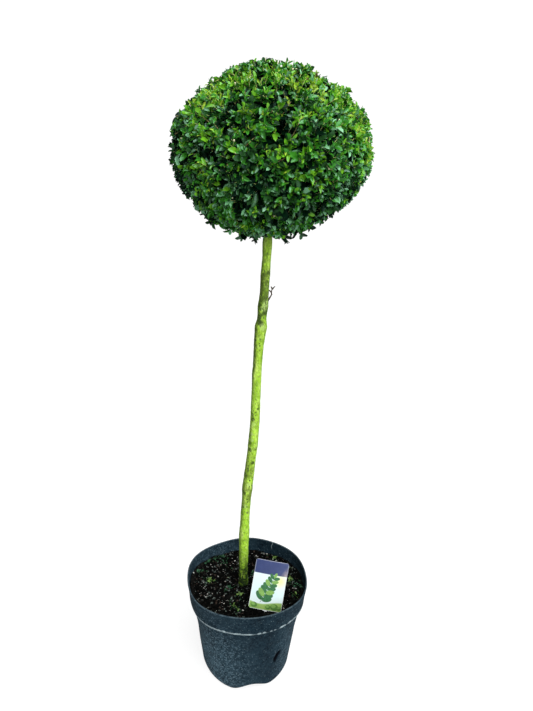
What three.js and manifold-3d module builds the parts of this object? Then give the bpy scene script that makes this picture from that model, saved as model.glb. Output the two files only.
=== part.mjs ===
// A box shrub grown as a standard: a clipped ball of leaves on one tall bare stem, in its soft nursery pot.
// Millimetres, +Z up. The origin is the middle of the pot's flat underside. -Y is the side seen first.
import * as THREE from "three";
import { mergeVertices } from "three/addons/utils/BufferGeometryUtils.js";
import Module from "manifold-3d";

const wasm = await Module();
wasm.setup();

// Driving dimensions

const clearance = 0.4; // between pieces that touch

const pot = {
  height: 236,
  rimRadius: 141.5,
  collarHeight: 48.5,
  collarFootRadius: 136,
  shoulderRadius: 129.6,
  shoulderDrop: 3,
  bellyRadius: 118.2,
  bellyHeight: 115,
  heelRadius: 113,
  heelHeight: 68,
  footRadius: 105.6,
  footRound: 11,
  wall: 1.8,
  lipWall: 2.6,
  segments: 64,
};

// The soft wall is out of round: each entry is a wave of bulges. One bulge alone leans the wall that way.
const rimWaves = [
  { bulges: 1, depth: 2.4, crest: -152 },
  { bulges: 2, depth: 2, crest: 0 },
  { bulges: 3, depth: 1, crest: -34 },
  { bulges: 4, depth: 1.7, crest: -32 },
  { bulges: 5, depth: 0.9, crest: 20 },
  { bulges: 6, depth: 1.1, crest: -24 },
];
const footWaves = [
  { bulges: 1, depth: 5.5, crest: -123 },
  { bulges: 2, depth: 2.9, crest: -31 },
  { bulges: 3, depth: 3.1, crest: 25 },
];

// Arched recesses round the foot, and drain holes through the base in them and between them
const drain = {
  arches: 3,
  holes: 6,
  firstBearing: -80,
  halfAngle: 27,
  rise: 15,
  innerRadius: 76,
  holeBearingRadius: 89,
  holeRadius: 4,
};

const soil = {
  level: 207,
  bank: 5, // how far it is banked up against the wall at the sides, and drawn down at front and back
  lump: 2.2,
  rings: 8,
  segments: 32,
};

// The stem's middle line, from its flat cut at soil level to where it forks inside the ball
const stem = {
  line: [
    [-11, 0, 204],
    [-11.6, 2, 294],
    [-9.6, 4, 406],
    [-5.6, 3, 476],
    [1.6, 1, 550],
    [6.2, -1, 619],
    [8.4, -3, 726],
    [10, -3, 786],
    [12.2, -3, 822],
    [15.9, -2, 866],
    [18, -1.4, 893],
    [20.4, 0, 949],
    [22.2, 1, 1010],
    [24.6, 0, 1116],
  ],
  footRadius: 10.85,
  tipRadius: 8.45,
  flare: 1.6, // more radius at the cut
  flareHeight: 22,
  knots: [
    { height: 345, swell: 1.8, halfHeight: 22 },
    { height: 464, swell: 1.7, halfHeight: 14 },
    { height: 490, swell: 0.9, halfHeight: 22 },
    { height: 540, swell: 0.6, halfHeight: 40 },
    { height: 580, swell: 0.9, halfHeight: 18 },
    { height: 650, swell: 0.5, halfHeight: 50 },
    { height: 742, swell: 0.5, halfHeight: 18 },
    { height: 778, swell: 0.5, halfHeight: 16 },
    { height: 805, swell: 0.9, halfHeight: 20 },
    { height: 822, swell: 1.3, halfHeight: 12 },
    { height: 843, swell: 3.4, halfHeight: 13 },
    { height: 886, swell: 1.9, halfHeight: 15 },
    { height: 950, swell: 0.5, halfHeight: 14 },
    { height: 1008, swell: 0.9, halfHeight: 16 },
  ],
  ruggedness: 0.35,
  sides: 14,
  rings: 96,
};

// A short dead side shoot, forked at its tip
const deadTwig = {
  height: 897,
  radius: 1.9,
  sides: 6,
  limbs: [
    [[2.5, 0, -9], [10.2, -1, 3.4], [16.2, -1, 14.8]],
    [[15.8, -1, 17], [12, -1, 21], [8, -1.5, 23.4]],
    [[16, -1, 13], [15.3, -1, 19.4], [16.9, 0, 25.4]],
    [[16.9, 0, 23.8], [15.6, 0, 27.2], [13.7, 0, 29.8]],
    [[16.9, 0, 23.8], [19.2, 0, 27.6], [22.4, 1, 30.1]],
  ],
};

// The clipped ball
const ball = {
  centre: [25, 0, 1173],
  halfWidth: 186,
  halfHeight: 147,
  coreInset: 32, // from the clipped outline to the core
  coreDetail: 5,
  unevenness: 0.016,
};

// Where the shears left the ball fuller, or cut it closer. Bearing and rise point there from its middle.
const fullness = [
  { bearing: 0, rise: -48, spread: 30, reach: -13 },
  { bearing: 0, rise: -75, spread: 25, reach: 7 },
  { bearing: 180, rise: -75, spread: 25, reach: 5 },
  { bearing: 180, rise: 10, spread: 22, reach: 6.5 },
  { bearing: 180, rise: 40, spread: 22, reach: -4 },
  { bearing: 0, rise: 90, spread: 35, reach: 8 },
];

const shoot = {
  count: 98,
  length: 30,
  rootDepth: 8, // into the core
  tipInset: 16, // from the clipped outline to a shoot's tip
  rootRadius: 1.7,
  tipRadius: 1.3,
  lift: 0.18, // how far shoots turn up to the light
  wander: 0.3,
  node: 2.2, // height of a leaf's foot on the twig
  pairGap: 10,
  spread: [1.25, 0.85], // angle from the twig, lower pair and upper pair
  stemClear: 15, // from the stem's middle line
  elbowRoom: 10, // between the middles of two leaves
};

const leaf = {
  length: 31,
  width: 15.5,
  thickness: 1.2,
  widest: 0.45,
  fold: 1.6,
  proud: 3.5, // how far a tip may pass the clipped outline
  shortest: 0.62,
};

// Shoots that missed the shears. Bearing is round the ball from +X, rise is above its middle.
const strays = [
  { bearing: 4, rise: 82, reach: 8 },
  { bearing: -4, rise: 41, reach: 9 },
  { bearing: 2, rise: 19, reach: 6 },
  { bearing: -3, rise: -37, reach: 7 },
  { bearing: 3, rise: -51, reach: 9 },
  { bearing: -6, rise: -66, reach: 10 },
  { bearing: -20, rise: -77, reach: 9 },
  { bearing: 178, rise: -70, reach: 9 },
  { bearing: -177, rise: -47, reach: 9 },
  { bearing: 177, rise: -40, reach: 6 },
  { bearing: 120, rise: 30, reach: 6 },
  { bearing: 75, rise: -45, reach: 7 },
  { bearing: -150, rise: -58, reach: 6 },
];

const label = {
  width: 74.6,
  height: 111.5,
  cornerRadius: 5,
  thickness: 0.6,
  tailWidth: 16,
  tailTip: 5,
  tailLength: 52,
  foot: [41, -81.5, 207],
  leanBack: 18,
  spin: 8.3,
};

// Small helpers

const radians = THREE.MathUtils.degToRad;
const up = new THREE.Vector3(0, 0, 1);

// The same number series on every run
function seeded(seed) {
  let state = seed;
  return () => {
    state = (Math.imul(state, 1664525) + 1013904223) >>> 0;
    return state / 4294967296;
  };
}

function signed(random) {
  return 2 * random() - 1;
}

function bare(geometry) {
  const positions = geometry.index ? geometry.toNonIndexed() : geometry.clone();
  positions.deleteAttribute("normal");
  positions.deleteAttribute("uv");
  return mergeVertices(positions, 1e-4);
}

// A closed solid from a geometry, without the faces that shrink to a line at a pole
function solidOf(geometry, matrix = new THREE.Matrix4()) {
  const merged = bare(geometry).applyMatrix4(matrix);
  const corners = [];
  const index = merged.index.array;
  for (let i = 0; i < index.length; i += 3) {
    const [a, b, c] = index.slice(i, i + 3);
    if (a !== b && b !== c && a !== c) corners.push(a, b, c);
  }
  return new wasm.Manifold(
    new wasm.Mesh({
      numProp: 3,
      vertProperties: merged.attributes.position.array,
      triVerts: new Uint32Array(corners),
    }),
  );
}

function geometryOf(solid) {
  const mesh = solid.getMesh();
  const geometry = new THREE.BufferGeometry();
  geometry.setAttribute("position", new THREE.BufferAttribute(mesh.vertProperties, 3));
  geometry.setIndex(new THREE.BufferAttribute(mesh.triVerts, 1));
  return geometry.toNonIndexed();
}

// Cutting and joining can leave scraps and sealed hollows: the largest shell is the piece
function largest(solid) {
  return solid.decompose().sort((p, q) => q.volume() - p.volume())[0];
}

function mesh(name, geometry, colour, roughness) {
  geometry.computeVertexNormals();
  const material = new THREE.MeshStandardMaterial({ color: colour, roughness, metalness: 0 });
  const made = new THREE.Mesh(geometry, material);
  made.name = name;
  return made;
}

function revolved(profile, segments) {
  const points = profile.map(([radius, height]) => new THREE.Vector2(radius, height));
  return new THREE.LatheGeometry(points, segments).rotateX(Math.PI / 2);
}

function moveVertices(geometry, move) {
  const position = geometry.attributes.position;
  const point = new THREE.Vector3();
  for (let i = 0; i < position.count; i++) {
    point.fromBufferAttribute(position, i);
    move(point);
    position.setXYZ(i, point.x, point.y, point.z);
  }
  return geometry;
}

// A tapering limb along a curve: rings of points whose radius is given by height share and angle
function limbGeometry(curve, radiusAt, sides, rings, endGap = 0) {
  const points = [];
  const side = new THREE.Vector3();
  const across = new THREE.Vector3();
  for (let i = 0; i <= rings; i++) {
    const share = i / rings;
    const middle = curve.getPointAt(share);
    const tangent = curve.getTangentAt(share);
    if (i === 0) middle.addScaledVector(tangent, -endGap);
    if (i === rings) middle.addScaledVector(tangent, endGap);
    side.set(1, 0, 0).addScaledVector(tangent, -tangent.x).normalize();
    across.crossVectors(tangent, side);
    if (i === 0) across.set(0, 1, 0);
    for (let k = 0; k < sides; k++) {
      const angle = (2 * Math.PI * k) / sides;
      const radius = radiusAt(share, angle, middle.z);
      points.push(
        middle
          .clone()
          .addScaledVector(side, radius * Math.cos(angle))
          .addScaledVector(across, radius * Math.sin(angle)),
      );
    }
  }
  const foot = points.length;
  points.push(curve.getPointAt(0).addScaledVector(curve.getTangentAt(0), -endGap));
  points.push(curve.getPointAt(1).addScaledVector(curve.getTangentAt(1), endGap));
  const index = [];
  for (let k = 0; k < sides; k++) {
    const next = (k + 1) % sides;
    for (let i = 0; i < rings; i++) {
      const low = i * sides;
      const high = low + sides;
      index.push(low + k, low + next, high + next, low + k, high + next, high + k);
    }
    index.push(foot, next, k, foot + 1, rings * sides + k, rings * sides + next);
  }
  return new THREE.BufferGeometry().setFromPoints(points).setIndex(index);
}

// Pot

function bulgeAt(waves, bearing) {
  return waves.reduce((sum, wave) => {
    return sum + wave.depth * Math.cos(wave.bulges * (bearing - radians(wave.crest)));
  }, 0);
}

// How far the wall stands outside its round line. The flat middle of the base moves in proportion.
function waveAt(bearing, radius, height) {
  const share = height / pot.height;
  const wave = THREE.MathUtils.lerp(bulgeAt(footWaves, bearing), bulgeAt(rimWaves, bearing), share);
  return wave * Math.min(1, radius / drain.innerRadius);
}

// Share of the arch's full rise at a place on the foot
function archAt(bearing, radius, height) {
  const spacing = (2 * Math.PI) / drain.arches;
  const turn = bearing - radians(drain.firstBearing);
  const off = Math.abs(turn - spacing * Math.round(turn / spacing));
  const share = off / radians(drain.halfAngle);
  const inside = share < 1 ? 0.5 + 0.5 * Math.cos(Math.PI * share) : 0;
  const outwards = THREE.MathUtils.smoothstep(radius, drain.innerRadius, pot.footRadius - pot.footRound);
  return inside * outwards * (1 - THREE.MathUtils.smoothstep(height, 0, pot.heelHeight));
}

function potShape(point) {
  const radius = Math.hypot(point.x, point.y);
  if (radius < 1e-6) return;
  const bearing = Math.atan2(point.y, point.x);
  const grown = radius + waveAt(bearing, radius, point.z);
  point.z += drain.rise * archAt(bearing, radius, point.z);
  point.x *= grown / radius;
  point.y *= grown / radius;
}

// The wall's line on the outside, from the foot's corner to just under the lip, drawn in by some distance
function wallLine(inset) {
  const collarFoot = pot.height - pot.collarHeight;
  return [
    [pot.heelRadius - inset, pot.heelHeight],
    [pot.bellyRadius - inset, pot.bellyHeight],
    [pot.shoulderRadius - inset, collarFoot - pot.shoulderDrop + inset / 2],
    [pot.collarFootRadius - inset, collarFoot + inset / 2],
  ];
}

function footCorner(inset) {
  const middle = pot.footRadius - pot.footRound;
  const reach = pot.footRound - inset;
  return [0, 0.33, 0.67, 1].map((share) => {
    const angle = (share * Math.PI) / 2;
    return [middle + reach * Math.sin(angle), pot.footRound - reach * Math.cos(angle)];
  });
}

function potPiece() {
  const lip = pot.height;
  const profile = [
    [0, 0],
    [drain.innerRadius, 0],
    ...footCorner(0),
    ...wallLine(0),
    [pot.rimRadius, lip - 1],
    [pot.rimRadius - pot.lipWall / 2, lip],
    [pot.rimRadius - pot.lipWall, lip - 1],
    ...wallLine(pot.wall).reverse(),
    ...footCorner(pot.wall).reverse(),
    [drain.innerRadius, pot.wall],
    [0, pot.wall],
  ];
  const shell = solidOf(moveVertices(revolved(profile, pot.segments), potShape));
  const holes = Array.from({ length: drain.holes }, (_, i) => {
    const bearing = radians(drain.firstBearing) + (2 * Math.PI * i) / drain.holes;
    const hole = new THREE.CylinderGeometry(drain.holeRadius, drain.holeRadius, 40, 10);
    hole.rotateX(Math.PI / 2);
    const away = drain.holeBearingRadius;
    hole.translate(away * Math.cos(bearing), away * Math.sin(bearing), 0);
    return solidOf(hole);
  });
  return largest(shell.subtract(wasm.Manifold.union(holes)));
}

// Stem

const stemCurve = new THREE.CatmullRomCurve3(stem.line.map((point) => new THREE.Vector3(...point)));

function stemRadius(share, angle, height) {
  const taper = THREE.MathUtils.lerp(stem.footRadius, stem.tipRadius, share);
  const flare = stem.flare * Math.exp(-(height - stem.line[0][2]) / stem.flareHeight);
  const swell = stem.knots.reduce(
    (sum, knot) => sum + knot.swell * Math.exp(-(((height - knot.height) / knot.halfHeight) ** 2)),
    0,
  );
  const rugged =
    Math.sin(3 * angle + height / 31) + Math.sin(2 * angle - height / 17) + Math.sin(height / 11 + angle);
  return taper + flare + swell + (stem.ruggedness * rugged) / 2;
}

function stemPiece(margin = 0) {
  const radiusAt = (share, angle, height) => stemRadius(share, angle, height) + margin;
  return solidOf(limbGeometry(stemCurve, radiusAt, stem.sides, stem.rings, margin));
}

function stemPointAt(height) {
  let low = 0;
  let high = 1;
  while (high - low > 1e-4) {
    const middle = (low + high) / 2;
    if (stemCurve.getPointAt(middle).z < height) low = middle;
    else high = middle;
  }
  return stemCurve.getPointAt(low);
}

function deadTwigPiece() {
  const foot = stemPointAt(deadTwig.height);
  const limbs = deadTwig.limbs.map((line, i) => {
    const curve = new THREE.CatmullRomCurve3(line.map((point) => new THREE.Vector3(...point).add(foot)));
    const thick = deadTwig.radius * (i === 0 ? 1 : 0.7);
    return solidOf(limbGeometry(curve, (share) => thick * (1 - 0.4 * share), deadTwig.sides, 4));
  });
  return largest(wasm.Manifold.union(limbs).subtract(stemPiece(clearance)));
}

// Label, drawn upright in its own XZ plane with the middle of the card's foot at the origin

function labelSolid(margin = 0) {
  const halfWidth = label.width / 2 + margin;
  const low = -margin;
  const high = label.height + margin;
  const round = label.cornerRadius;
  const halfTail = label.tailWidth / 2 + margin;
  const halfTip = label.tailTip / 2 + margin;
  const tip = -label.tailLength - margin;
  const outline = new THREE.Shape();
  outline.moveTo(halfTail, low);
  outline.lineTo(halfWidth - round, low);
  outline.absarc(halfWidth - round, low + round, round, -Math.PI / 2, 0);
  outline.absarc(halfWidth - round, high - round, round, 0, Math.PI / 2);
  outline.absarc(round - halfWidth, high - round, round, Math.PI / 2, Math.PI);
  outline.absarc(round - halfWidth, low + round, round, Math.PI, 1.5 * Math.PI);
  outline.lineTo(-halfTail, low);
  outline.lineTo(-halfTip, tip);
  outline.lineTo(halfTip, tip);
  outline.closePath();
  const depth = label.thickness + 2 * margin;
  const card = new THREE.ExtrudeGeometry(outline, { depth, bevelEnabled: false, curveSegments: 4 });
  card.translate(0, 0, -depth / 2).rotateX(Math.PI / 2);
  return solidOf(card, labelPlace());
}

function labelPlace() {
  const turn = new THREE.Matrix4().makeRotationX(-radians(label.leanBack));
  const spin = new THREE.Matrix4().makeRotationY(radians(label.spin));
  return new THREE.Matrix4().makeTranslation(...label.foot).multiply(turn).multiply(spin);
}

// Soil, which fills the pot and laps the stem's foot and the label's tail

function soilTop(x, y) {
  const banked = soil.level + (soil.bank * (x * x - y * y)) / pot.collarFootRadius ** 2;
  const small = Math.sin(x / 13 + 1) * Math.cos(y / 11);
  const lumps = small + Math.sin((x - y) / 19 + 2) + Math.cos((x + 2 * y) / 17);
  return banked + (soil.lump * lumps) / 2;
}

function soilPiece() {
  const inset = pot.wall + clearance;
  const [heel, belly, shoulder, collar] = wallLine(inset);
  const lipInside = pot.rimRadius - pot.lipWall;
  const lowest = soil.level - soil.bank - soil.lump;
  const widening = (lipInside - pot.collarFootRadius + pot.wall) / pot.collarHeight;
  const topRadius = collar[0] + widening * (lowest - collar[1]);
  const rings = Array.from({ length: soil.rings }, (_, i) => [
    (topRadius * (soil.rings - i)) / soil.rings,
    soil.level,
  ]);
  const profile = [
    [0, inset],
    [drain.innerRadius - 2, inset],
    [pot.footRadius - pot.footRound, inset + drain.rise + 3],
    heel,
    belly,
    [shoulder[0], shoulder[1] + clearance],
    [collar[0], collar[1] + clearance],
    ...rings,
    [0, soil.level],
  ];
  const block = revolved(profile, soil.segments);
  moveVertices(block, (point) => {
    const radius = Math.hypot(point.x, point.y);
    if (point.z > soil.level - 0.5) point.z = soilTop(point.x, point.y);
    if (radius < 1e-6) return;
    const grown = radius + waveAt(Math.atan2(point.y, point.x), radius, point.z) - 0.2;
    point.x *= grown / radius;
    point.y *= grown / radius;
  });
  return largest(solidOf(block).subtract(stemPiece(clearance)).subtract(labelSolid(clearance)));
}

// Ball of foliage

const ballCentre = new THREE.Vector3(...ball.centre);

function directionOf(bearing, rise) {
  const level = Math.cos(rise);
  return new THREE.Vector3(Math.cos(bearing) * level, Math.sin(bearing) * level, Math.sin(rise));
}

// How far the clipped outline lies from the ball's centre in a direction
function outlineAt(direction) {
  const flat = Math.hypot(direction.x, direction.y) / ball.halfWidth;
  const tall = direction.z / ball.halfHeight;
  const bearing = Math.atan2(direction.y, direction.x);
  const rise = Math.asin(THREE.MathUtils.clamp(direction.z, -1, 1));
  const uneven =
    Math.cos(rise) * Math.sin(3 * bearing + 1.1) * Math.cos(2 * rise) +
    Math.cos(rise) * Math.sin(5 * bearing + 4 * rise) * 0.6;
  const extra = fullness.reduce((sum, spot) => {
    const away = direction.angleTo(directionOf(radians(spot.bearing), radians(spot.rise)));
    return sum + spot.reach * Math.exp(-((away / radians(spot.spread)) ** 2));
  }, 0);
  return (1 + ball.unevenness * uneven) / Math.hypot(flat, tall) + extra;
}

function coreSolid() {
  const core = new THREE.IcosahedronGeometry(1, ball.coreDetail);
  moveVertices(core, (point) => {
    point.normalize();
    point.multiplyScalar(outlineAt(point) - ball.coreInset).add(ballCentre);
  });
  return solidOf(core);
}

// Signed distance of a point from the clipped outline, measured along the ray from the centre
function proudOf(point) {
  const arm = point.clone().sub(ballCentre);
  const distance = arm.length();
  return distance - outlineAt(arm.divideScalar(distance));
}

function clearOfStem(point) {
  const top = stem.line[stem.line.length - 1][2];
  if (point.z > top + shoot.stemClear) return true;
  const middle = stemPointAt(Math.min(point.z, top));
  return Math.hypot(point.x - middle.x, point.y - middle.y) > shoot.stemClear;
}

// One shoot as a closed skin: a square twig with two opposite pairs of leaves, each pair a quarter turn
// from the last, and one leaf at the tip. Every leaf grows out of one face of the twig.
function shootSolid(root, axis, length, reach, random, middles) {
  const side = new THREE.Vector3().crossVectors(axis, up);
  if (side.length() < 0.1) side.set(1, 0, 0);
  side.normalize().applyAxisAngle(axis, random() * Math.PI);
  const across = new THREE.Vector3().crossVectors(axis, side);
  const low = length - shoot.pairGap;
  const stations = [0, low - shoot.node, low, length - shoot.node, length];
  const points = [];
  for (const station of stations) {
    const radius = THREE.MathUtils.lerp(shoot.rootRadius, shoot.tipRadius, station / length);
    for (let k = 0; k < 4; k++) {
      const angle = Math.PI / 4 + (k * Math.PI) / 2;
      points.push(
        root
          .clone()
          .addScaledVector(axis, station)
          .addScaledVector(side, radius * Math.cos(angle))
          .addScaledVector(across, radius * Math.sin(angle)),
      );
    }
  }
  const index = [2, 1, 0, 3, 2, 0];
  const wall = (a, b, c, d) => index.push(a, b, c, a, c, d);
  for (let ring = 0; ring < stations.length - 1; ring++) {
    for (let k = 0; k < 4; k++) {
      const next = (k + 1) % 4;
      const corners = [4 * ring + k, 4 * ring + next, 4 * ring + 4 + next, 4 * ring + 4 + k];
      const paired = (ring === 1 && k % 2 === 0) || (ring === 3 && k % 2 === 1);
      const outward = points[corners[0]].clone().add(points[corners[1]]).multiplyScalar(0.5);
      outward.sub(root).addScaledVector(axis, -stations[ring]).normalize();
      const spread = THREE.MathUtils.lerp(shoot.spread[0], shoot.spread[1], ring / 3) + 0.15 * signed(random);
      const heading = axis.clone().multiplyScalar(Math.cos(spread));
      heading.addScaledVector(outward, Math.sin(spread));
      const grown = paired && addLeaf(points, index, corners, heading, axis, reach, random, middles);
      if (!grown) wall(...corners);
    }
  }
  const end = [16, 17, 18, 19];
  const nod = axis.clone().addScaledVector(side, 0.3 * signed(random)).normalize();
  if (!addLeaf(points, index, end, nod, across.negate(), reach, random, middles)) wall(...end);
  return solidOf(new THREE.BufferGeometry().setFromPoints(points).setIndex(index));
}

// A leaf of twelve faces out of four corners of a twig, given from its bottom edge. Its upper side is
// towards "above".
function addLeaf(points, index, corners, heading, above, reach, random, middles) {
  const base = corners.reduce((sum, i) => sum.add(points[i]), new THREE.Vector3()).multiplyScalar(0.25);
  let size = leaf.length * (1 + 0.12 * signed(random));
  const shortest = leaf.shortest * leaf.length;
  const tipAt = (length) => base.clone().addScaledVector(heading, length);
  while (size > shortest && proudOf(tipAt(size)) > leaf.proud + reach) size -= 1;
  const middle = tipAt(size / 2);
  if (size <= shortest || !clearOfStem(tipAt(size)) || !clearOfStem(base)) return false;
  if (proudOf(tipAt(size)) < -ball.coreInset || proudOf(middle) < 2 - ball.coreInset) return false;
  if (middles.some((other) => other.distanceTo(middle) < shoot.elbowRoom)) return false;
  middles.push(middle);
  const right = new THREE.Vector3().crossVectors(above, heading).normalize();
  const face = new THREE.Vector3().crossVectors(heading, right);
  const widest = tipAt(leaf.widest * size);
  const half = (leaf.width * size) / leaf.length / 2;
  const start = points.length;
  points.push(
    widest.clone().addScaledVector(face, -leaf.thickness / 2),
    widest.clone().addScaledVector(right, half).addScaledVector(face, leaf.fold),
    widest.clone().addScaledVector(face, leaf.thickness / 2),
    widest.clone().addScaledVector(right, -half).addScaledVector(face, leaf.fold),
    tipAt(size),
  );
  const [bottom, rightEdge, ridge, leftEdge, tip] = [0, 1, 2, 3, 4].map((i) => start + i);
  const [a, b, c, d] = corners;
  index.push(a, b, bottom, b, rightEdge, bottom, b, c, rightEdge, c, ridge, rightEdge);
  index.push(c, d, ridge, d, leftEdge, ridge, d, a, leftEdge, a, bottom, leftEdge);
  index.push(bottom, rightEdge, tip, rightEdge, ridge, tip, ridge, leftEdge, tip, leftEdge, bottom, tip);
  return true;
}

function ballPiece() {
  const random = seeded(2024);
  const solids = [coreSolid()];
  const middles = [];
  const goldenAngle = Math.PI * (3 - Math.sqrt(5));
  const starts = Array.from({ length: shoot.count }, (_, i) => {
    const rise = Math.asin(1 - (2 * (i + 0.5)) / shoot.count);
    return { direction: directionOf(i * goldenAngle, rise), reach: 0 };
  });
  for (const stray of strays)
    starts.push({ direction: directionOf(radians(stray.bearing), radians(stray.rise)), reach: stray.reach });
  for (const { direction, reach } of starts) {
    const stray = new THREE.Vector3(signed(random), signed(random), signed(random));
    const axis = direction.clone().addScaledVector(up, shoot.lift);
    axis.addScaledVector(stray, shoot.wander * (reach ? 0.3 : 1)).normalize();
    const tip = ballCentre.clone().addScaledVector(direction, outlineAt(direction) + reach - shoot.tipInset);
    let length = shoot.length;
    const rootAt = (back) => tip.clone().addScaledVector(axis, -back);
    while (proudOf(rootAt(length)) > -ball.coreInset - shoot.rootDepth) length += 2;
    const root = rootAt(length);
    if (!clearOfStem(root) || !clearOfStem(tip)) continue;
    solids.push(shootSolid(root, axis, length, reach, random, middles));
  }
  return largest(wasm.Manifold.union(solids).subtract(stemPiece(clearance)));
}

// Assembly

const plant = new THREE.Group();
plant.add(mesh("pot", geometryOf(potPiece()), 0x1c272f, 0.6));
plant.add(mesh("soil", geometryOf(soilPiece()), 0x1a1512, 0.95));
plant.add(mesh("stem", geometryOf(stemPiece()), 0x86b52b, 0.8));
plant.add(mesh("dead_twig", geometryOf(deadTwigPiece()), 0x7d746a, 0.85));
plant.add(mesh("clipped_ball", geometryOf(ballPiece()), 0x2f6b1f, 0.5));
plant.add(mesh("plant_label", geometryOf(labelSolid()), 0xdfeef0, 0.35));

export default plant;
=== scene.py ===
import math
from types import SimpleNamespace

import bmesh
import bpy
import numpy as np
from mathutils import Matrix, Vector, noise


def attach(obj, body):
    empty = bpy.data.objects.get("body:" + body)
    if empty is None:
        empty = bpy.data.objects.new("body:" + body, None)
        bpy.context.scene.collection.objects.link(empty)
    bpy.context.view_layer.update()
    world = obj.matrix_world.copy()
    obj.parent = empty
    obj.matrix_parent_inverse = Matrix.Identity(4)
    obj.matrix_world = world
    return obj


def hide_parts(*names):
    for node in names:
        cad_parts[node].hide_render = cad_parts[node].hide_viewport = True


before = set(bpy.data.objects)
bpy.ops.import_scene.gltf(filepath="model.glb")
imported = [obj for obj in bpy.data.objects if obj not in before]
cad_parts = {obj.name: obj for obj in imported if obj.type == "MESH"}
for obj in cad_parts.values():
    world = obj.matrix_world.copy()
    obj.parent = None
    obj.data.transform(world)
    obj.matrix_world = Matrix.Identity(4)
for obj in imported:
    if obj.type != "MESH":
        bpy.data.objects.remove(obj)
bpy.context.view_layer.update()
scene = bpy.context.scene
goldenAngle = math.pi * (3 - math.sqrt(5))
mm = 0.001  # shapes are in millimetres, the places of their materials in metres


def putInScene(name, data):
    thing = bpy.data.objects.new(name, data)
    scene.collection.objects.link(thing)
    return thing


# Camera, fitted to the pot's ellipses and the ball's outline

cameraSettings = {
    "place": (0.0275, -1.0592, 1.1118),
    "pitchDown": 17.299,
    "roll": 1.807,
    "lens": 27.04,
}


def addCamera():
    lens = bpy.data.cameras.new("photoCamera")
    lens.lens = cameraSettings["lens"]
    lens.clip_start = 0.05
    camera = putInScene("photoCamera", lens)
    turn = Matrix.Rotation(math.radians(90 - cameraSettings["pitchDown"]), 4, "X")
    roll = Matrix.Rotation(math.radians(cameraSettings["roll"]), 4, "Z")
    camera.matrix_world = Matrix.Translation(cameraSettings["place"]) @ turn @ roll
    scene.camera = camera


addCamera()
print("camera set")


# Node helpers

def addNode(tree, kind, inputs=None, **settings):
    node = tree.nodes.new(kind)
    for name, value in settings.items():
        setattr(node, name, value)
    for name, value in (inputs or {}).items():
        if isinstance(value, Flow):
            value.into(node, name)
        else:
            node.inputs[name].default_value = value
    return node


def opaque(color):
    return color if isinstance(color, Flow) else (*color, 1)


# What comes out of a node. Its signs and methods put the next node after it.
class Flow:
    def __init__(self, tree, socket):
        self.tree = tree
        self.socket = socket

    def into(self, node, name):
        self.tree.links.new(self.socket, node.inputs[name])

    def via(self, kind, inputs=None, output=0, **settings):
        return Flow(self.tree, addNode(self.tree, kind, inputs, **settings).outputs[output])

    def maths(self, operation, other=0):
        return self.via("ShaderNodeMath", {0: self, 1: other}, operation=operation)

    def __add__(self, other):
        return self.maths("ADD", other)

    __radd__ = __add__

    def __sub__(self, other):
        return self.maths("SUBTRACT", other)

    def __mul__(self, other):
        return self.maths("MULTIPLY", other)

    def remap(self, low=0, high=1, start=0, end=1, **settings):
        inputs = {"Value": self, 1: low, 2: high, 3: start, 4: end}
        return self.via("ShaderNodeMapRange", inputs, **settings)

    def band(self, low, high, soft):
        return self.remap(low - soft, low + soft) * self.remap(high - soft, high + soft, 1, 0)

    # this flow is the mask that shows the second color over the first
    def mix(self, first, second):
        inputs = {0: self, 6: opaque(first), 7: opaque(second)}
        return self.via("ShaderNodeMix", inputs, output=2, data_type="RGBA")

    def ramp(self, *stops):
        node = addNode(self.tree, "ShaderNodeValToRGB", {"Fac": self})
        while len(node.color_ramp.elements) < len(stops):
            node.color_ramp.elements.new(0.5)
        for element, (position, color) in zip(node.color_ramp.elements, stops):
            element.position = position
            element.color = (*color, 1)
        return Flow(self.tree, node.outputs["Color"])

    def axes(self):
        node = addNode(self.tree, "ShaderNodeSeparateXYZ", {"Vector": self})
        return [Flow(self.tree, socket) for socket in node.outputs]


def layered(base, colors, masks):
    for name, mask in masks.items():
        base = mask.mix(base, colors[name])
    return base


def newMaterial(name, **plain):
    material = bpy.data.materials.new(name)
    material.use_nodes = True
    tree = material.node_tree
    shader = tree.nodes["Principled BSDF"]
    for key, value in plain.items():
        shader.inputs[key.replace("_", " ")].default_value = value
    place = Flow(tree, addNode(tree, "ShaderNodeTexCoord").outputs["Object"])
    return material, shader, place


def bump(shader, height, strength, distance):
    inputs = {"Height": height, "Strength": strength, "Distance": distance}
    height.via("ShaderNodeBump", inputs).into(shader, "Normal")


# A node group that takes a place and three numbers and gives a mask
def makeMaskGroup(name, numbers, makeMask):
    group = bpy.data.node_groups.new(name, "ShaderNodeTree")
    face = group.interface
    face.new_socket(name="Place", in_out="INPUT", socket_type="NodeSocketVector")
    for number, value in numbers.items():
        face.new_socket(name=number, in_out="INPUT", socket_type="NodeSocketFloat").default_value = value
    face.new_socket(name="Mask", in_out="OUTPUT", socket_type="NodeSocketFloat")
    inputs = addNode(group, "NodeGroupInput").outputs
    mask = makeMask(*[Flow(group, inputs[key]) for key in ("Place", *numbers)])
    mask.into(addNode(group, "NodeGroupOutput"), "Mask")
    return group


def cloudMask(place, scale, low, high):
    inputs = {"Vector": place, "Scale": scale, "Detail": 6, "Roughness": 0.65}
    return place.via("ShaderNodeTexNoise", inputs).remap(low, high)


def dotMask(place, scale, size, softness):
    cells = addNode(place.tree, "ShaderNodeTexVoronoi", {"Vector": place, "Scale": scale})
    cellColor = Flow(place.tree, cells.outputs["Color"])
    unevenSize = size * place.via("ShaderNodeSeparateColor", {"Color": cellColor})
    return Flow(place.tree, cells.outputs["Distance"]).remap(unevenSize - softness, unevenSize, 1, 0)


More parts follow.
